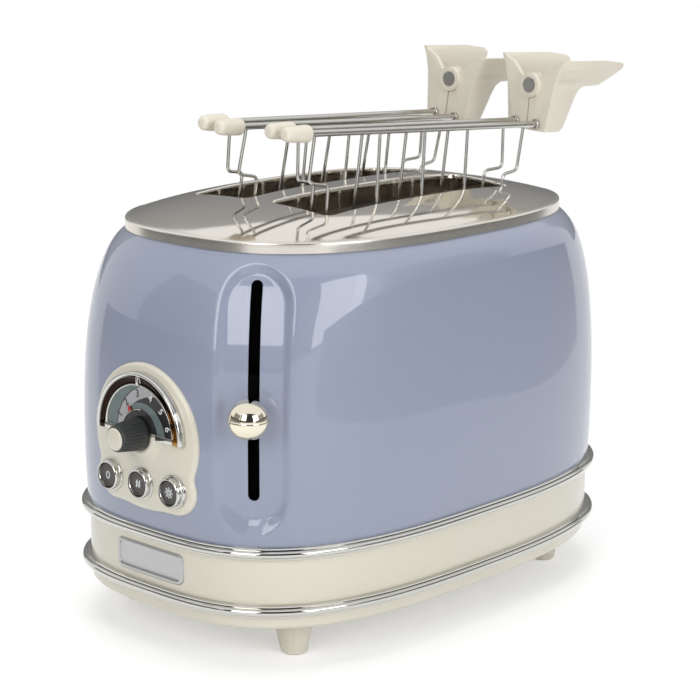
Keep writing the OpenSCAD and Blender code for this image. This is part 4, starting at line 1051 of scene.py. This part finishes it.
class TOASTER_OT_tongs(bpy.types.Operator):
    """Both sandwich tongs: wire jaws, caps and handle halves"""
    bl_idname = "toaster.tongs"
    bl_label = "Tongs"

    def execute(self, context):
        sizes = context.scene.toaster_sizes
        for side in ("near", "far"):
            at = tong_frame(side)
            for half, s, body in (("front", -1, f"{side}_tong"), ("back", 1, f"{side}_tong_back")):
                name = f"{side}_tong_{half}"
                settle(self.jaw(at, s, sizes.bend / MM), f"{name}_wires", FINISH["wire"], body, f"{name}_jaw")
                settle(self.cap(at, s), f"{name}_tip", FINISH["handle"], body, f"{name}_cap")
                handle = softened(f"{name}_handle", sizes.edge_round / MM)
                settle(handle, f"{name}_grip", FINISH["handle"], body, f"{name}_handle")
        return {"FINISHED"}

    def jaw(self, at, side, bend):
        low = -TONG_DEPTH + WIRE_D / 2
        rail = side * (ROD_AT_HANDLE - 3.5)

        def path(points):
            return [at @ v for v in bent(points, bend)]
        parts = [tube([at @ Vector((x, side * rods_at(x), 0)) for x in (-2, 60, 120, TONG_L + 4)], ROD_D, 5)]
        for x, d in ((WIRE_SPOTS[0], 1), (WIRE_SPOTS[-1], -1)):
            y = rods_at(x)
            parts.append(tube(path([(x, side * y, -1), (x, side * (y - 2), -SHOULDER_DEPTH),
                                    (x + d * SHOULDER_L, side * (y - 0.5), -SHOULDER_DEPTH - 1.6),
                                    (x + d * SHOULDER_L, side * (y - 0.5), low + 8), (x + d * SHOULDER_L, rail, low)]),
                                    WIRE_D))
        for x in WIRE_SPOTS[1:-1]:
            y = rods_at(x)
            parts.append(tube(path([(x, side * y, -1), (x, side * (y + 2.4), -60), (x, side * (y + 1), low + 8),
                                    (x, rail, low)]), WIRE_D))
        parts.append(tube([at @ Vector((x, rail, low)) for x in
                           (WIRE_SPOTS[0] + SHOULDER_L - 1.2, 90, WIRE_SPOTS[-1] - SHOULDER_L + 1.2)], WIRE_D + 0.2))

        def along(u, v, h):
            return at @ Vector((h, side * ROD_AT_HANDLE + u, v))
        collar = turned([(1.7, TONG_L - 1.4), (2.5, TONG_L - 1.4), (2.75, TONG_L - 1.1), (2.8, TONG_L - 0.4),
                         (2.65, TONG_L + 0.3),
                         (2.2, TONG_L + 0.8), (1.7, TONG_L + 0.8)], along, 32)
        soft(collar, 50)
        return join(parts + [collar])

    def cap(self, at, side):
        r, l = 4.6, 17.0
        profile = [(1.9, 0.4), (1.95, 0.0), (r - 1.2, 0.0)] + arc(r - 1.2, 1.2, 1.15, -90, 0, 6)
        profile += [(r - 0.02, 2.6), (r * 0.97, 6.0), (r * 0.93, 10.0), (r * 0.875, l - 3.6)]
        profile += [(r * 0.34 + r * 0.52 * math.cos(math.radians(w)),
                     l - r * 0.62 + r * 0.62 * math.sin(math.radians(w)))
                    for w in range(0, 91, 10)] + [(0.0, l)]
        piece = turned(profile, lambda u, v, h: at @ Vector((l / 2 - h, side * ROD_AT_CAP + u, v)), 48)
        soft(piece, 45)
        return piece


class TOASTER_OT_finishes(bpy.types.Operator):
    """Finishes of the pieces that keep their own solids"""
    bl_idname = "toaster.finishes"
    bl_label = "Finishes"

    def execute(self, context):
        make_finishes(context.scene.toaster_look)
        for key, nodes in CAD_FINISHES.items():
            for node in nodes:
                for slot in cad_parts[node].material_slots:
                    slot.material = FINISH[key]
        return {"FINISHED"}


# ------------------------------------------------------------------ stage
def card(name, centre, aim, size, level, rise=0.0):
    """A board beside the set, seen only in reflections, lighter upwards by rise."""
    clear()
    bpy.ops.mesh.primitive_plane_add(size=1)
    board = bpy.context.object
    board.name = name
    board.scale = (size[0], size[1], 1)
    board.location = centre
    board.rotation_euler = (Vector(aim) - Vector(centre)).to_track_quat("Z", "Y").to_euler()
    f = Finish(name)
    glow = f.node("ShaderNodeEmission", {}, {"Strength": f.split(f.place())[1] * rise + level})
    f.tree.links.new(glow.socket, f.tree.nodes["Material Output"].inputs["Surface"])
    board.data.materials.append(f.material)
    board.visible_camera = board.visible_diffuse = board.visible_shadow = False


def lamp(name, centre, aim, size, watts, shows=True):
    clear()
    data = bpy.data.lights.new(name, "AREA")
    data.shape = "RECTANGLE"
    data.size, data.size_y = size
    data.energy = watts
    light = bpy.data.objects.new(name, data)
    bpy.context.scene.collection.objects.link(light)
    light.location = centre
    light.rotation_euler = (Vector(aim) - Vector(centre)).to_track_quat("-Z", "Y").to_euler()
    light.visible_camera, light.visible_glossy = False, shows


class TOASTER_OT_stage(bpy.types.Operator):
    """Floor, white surroundings, studio lamps and the camera"""
    bl_idname = "toaster.stage"
    bl_label = "Stage"

    def execute(self, context):
        scene = context.scene
        scene.view_settings.view_transform = "Standard"
        self.surroundings(scene)
        self.lamps()
        self.camera(scene)
        return {"FINISHED"}

    def seen(self, tree):
        path = tree.nodes.new("ShaderNodeLightPath")
        add = tree.nodes.new("ShaderNodeMath")
        add.operation = "ADD"
        tree.links.new(path.outputs["Is Camera Ray"], add.inputs[0])
        tree.links.new(path.outputs["Is Glossy Ray"], add.inputs[1])
        more = tree.nodes.new("ShaderNodeMath")
        more.operation, more.use_clamp = "ADD", True
        tree.links.new(add.outputs[0], more.inputs[0])
        tree.links.new(path.outputs["Is Transmission Ray"], more.inputs[1])
        return more.outputs[0]

    def surroundings(self, scene):
        world = bpy.data.worlds.new("white_room")
        scene.world = world
        world.use_nodes = True
        tree = world.node_tree
        tree.nodes.clear()
        plain = tree.nodes.new("ShaderNodeBackground")
        plain.inputs["Color"].default_value = (0.97, 0.98, 1.0, 1)
        plain.inputs["Strength"].default_value = 0.32
        white = tree.nodes.new("ShaderNodeBackground")
        white.inputs["Strength"].default_value = 1.0
        white.inputs["Color"].default_value = (1, 1, 1, 1)
        mix = tree.nodes.new("ShaderNodeMixShader")
        out = tree.nodes.new("ShaderNodeOutputWorld")
        tree.links.new(self.seen(tree), mix.inputs[0])
        tree.links.new(plain.outputs[0], mix.inputs[1])
        tree.links.new(white.outputs[0], mix.inputs[2])
        tree.links.new(mix.outputs[0], out.inputs[0])
        clear()
        bpy.ops.mesh.primitive_plane_add(size=14)
        floor = bpy.context.object
        floor.name = "floor"
        f = Finish("pale_floor")
        mottle = f.noise(2, 2)
        f.set(Base_Color=f.blend(mottle, (0.80, 0.80, 0.80), (0.82, 0.82, 0.82)), Roughness=0.8, Specular_IOR_Level=0.2)
        glow = f.tree.nodes.new("ShaderNodeEmission")
        glow.inputs["Color"].default_value = (1, 1, 1, 1)
        lift = f.tree.nodes.new("ShaderNodeMath")
        lift.operation = "MULTIPLY"
        lift.inputs[1].default_value = 0.38
        f.tree.links.new(self.seen(f.tree), lift.inputs[0])
        f.tree.links.new(lift.outputs[0], glow.inputs["Strength"])
        both = f.tree.nodes.new("ShaderNodeAddShader")
        f.tree.links.new(f.shader.outputs[0], both.inputs[0])
        f.tree.links.new(glow.outputs[0], both.inputs[1])
        bright = f.tree.nodes.new("ShaderNodeEmission")
        bright.inputs["Color"].default_value = (1, 1, 1, 1)
        far = f.node("ShaderNodeVectorMath", {"operation": "LENGTH"}, (f.place(),), 1).edge(0.85, 0.8)
        far = far * Value(f, self.seen(f.tree))
        mix = f.tree.nodes.new("ShaderNodeMixShader")
        f.tree.links.new(far.socket, mix.inputs[0])
        f.tree.links.new(both.outputs[0], mix.inputs[1])
        f.tree.links.new(bright.outputs[0], mix.inputs[2])
        f.tree.links.new(mix.outputs[0], f.tree.nodes["Material Output"].inputs["Surface"])
        floor.data.materials.append(f.material)

    def lamps(self):
        middle = (0, 0, 0.13)
        lamp("left_window", (-1.65, -0.55, 0.95), middle, (0.75, 1.1), 11.6)
        lamp("right_window", (-0.25, -1.9, 0.75), middle, (0.9, 1.2), 14)
        lamp("overhead", (0.1, 0.2, 1.9), middle, (1.5, 1.5), 15, False)
        lamp("back_fill", (1.3, 1.2, 0.9), middle, (1.0, 1.0), 5, False)
        card("dark_front", (-2.0, -2.0, 1.62), (0, 0, 1.1), (6.0, 3.0), 0.05)
        card("grey_left", (-1.9, 1.0, 0.7), (0, 0, 0.3), (1.6, 1.4), 0.3)
        card("grey_right", (1.3, -2.0, 0.7), (0, 0, 0.3), (1.6, 1.4), 0.35)
        card("grey_back", (1.9, 1.8, 0.85), (0, 0, 0.2), (4.5, 1.6), 0.30, 0.25)
        card("low_right", (0.25, -0.44, 0.11), (0, 0, 0.11), (1.1, 0.2), 0.3, -0.5)
        card("low_left", (-0.44, 0.24, 0.11), (0, 0, 0.11), (0.7, 0.2), 0.3, -0.5)

    def camera(self, scene):
        data = bpy.data.cameras.new("view")
        camera = bpy.data.objects.new("view", data)
        scene.collection.objects.link(camera)
        turn = Matrix((VIEW_RIGHT, VIEW_UP, -VIEW_AHEAD)).transposed().to_4x4()
        camera.matrix_world = Matrix.Translation(VIEW_FROM * MM) @ turn
        data.sensor_width, data.lens = SENSOR_W, FOCAL_PX / PICTURE_PX * SENSOR_W
        data.clip_start, data.clip_end = 0.05, 50
        scene.camera = camera


ORDER = ("finishes", "shell", "top_plate", "base", "panel", "lever", "tongs", "stage")


class TOASTER_PT_panel(bpy.types.Panel):
    """Lists the toaster's pieces and settings"""
    bl_label = "Two-slot toaster"
    bl_idname = "TOASTER_PT_panel"
    bl_space_type = "VIEW_3D"
    bl_region_type = "UI"
    bl_category = "Toaster"

    def draw(self, context):
        for group in (context.scene.toaster_look, context.scene.toaster_sizes):
            for key in group.bl_rna.properties.keys():
                if key not in ("rna_type", "name"):
                    self.layout.prop(group, key)
        for name in ORDER:
            self.layout.operator(f"toaster.{name}")


CLASSES = (ToasterLook, ToasterSizes, TOASTER_OT_finishes, TOASTER_OT_shell, TOASTER_OT_top_plate, TOASTER_OT_base,
           TOASTER_OT_panel, TOASTER_OT_lever, TOASTER_OT_tongs, TOASTER_OT_stage, TOASTER_PT_panel)


def register():
    for cls in CLASSES:
        bpy.utils.register_class(cls)
    bpy.types.Scene.toaster_look = PointerProperty(type=ToasterLook)
    bpy.types.Scene.toaster_sizes = PointerProperty(type=ToasterSizes)


def unregister():
    del bpy.types.Scene.toaster_sizes
    del bpy.types.Scene.toaster_look
    for cls in reversed(CLASSES):
        bpy.utils.unregister_class(cls)


def main():
    register()
    for name in ORDER:
        getattr(bpy.ops.toaster, name)()
    clear()


if __name__ == "__main__":
    main()
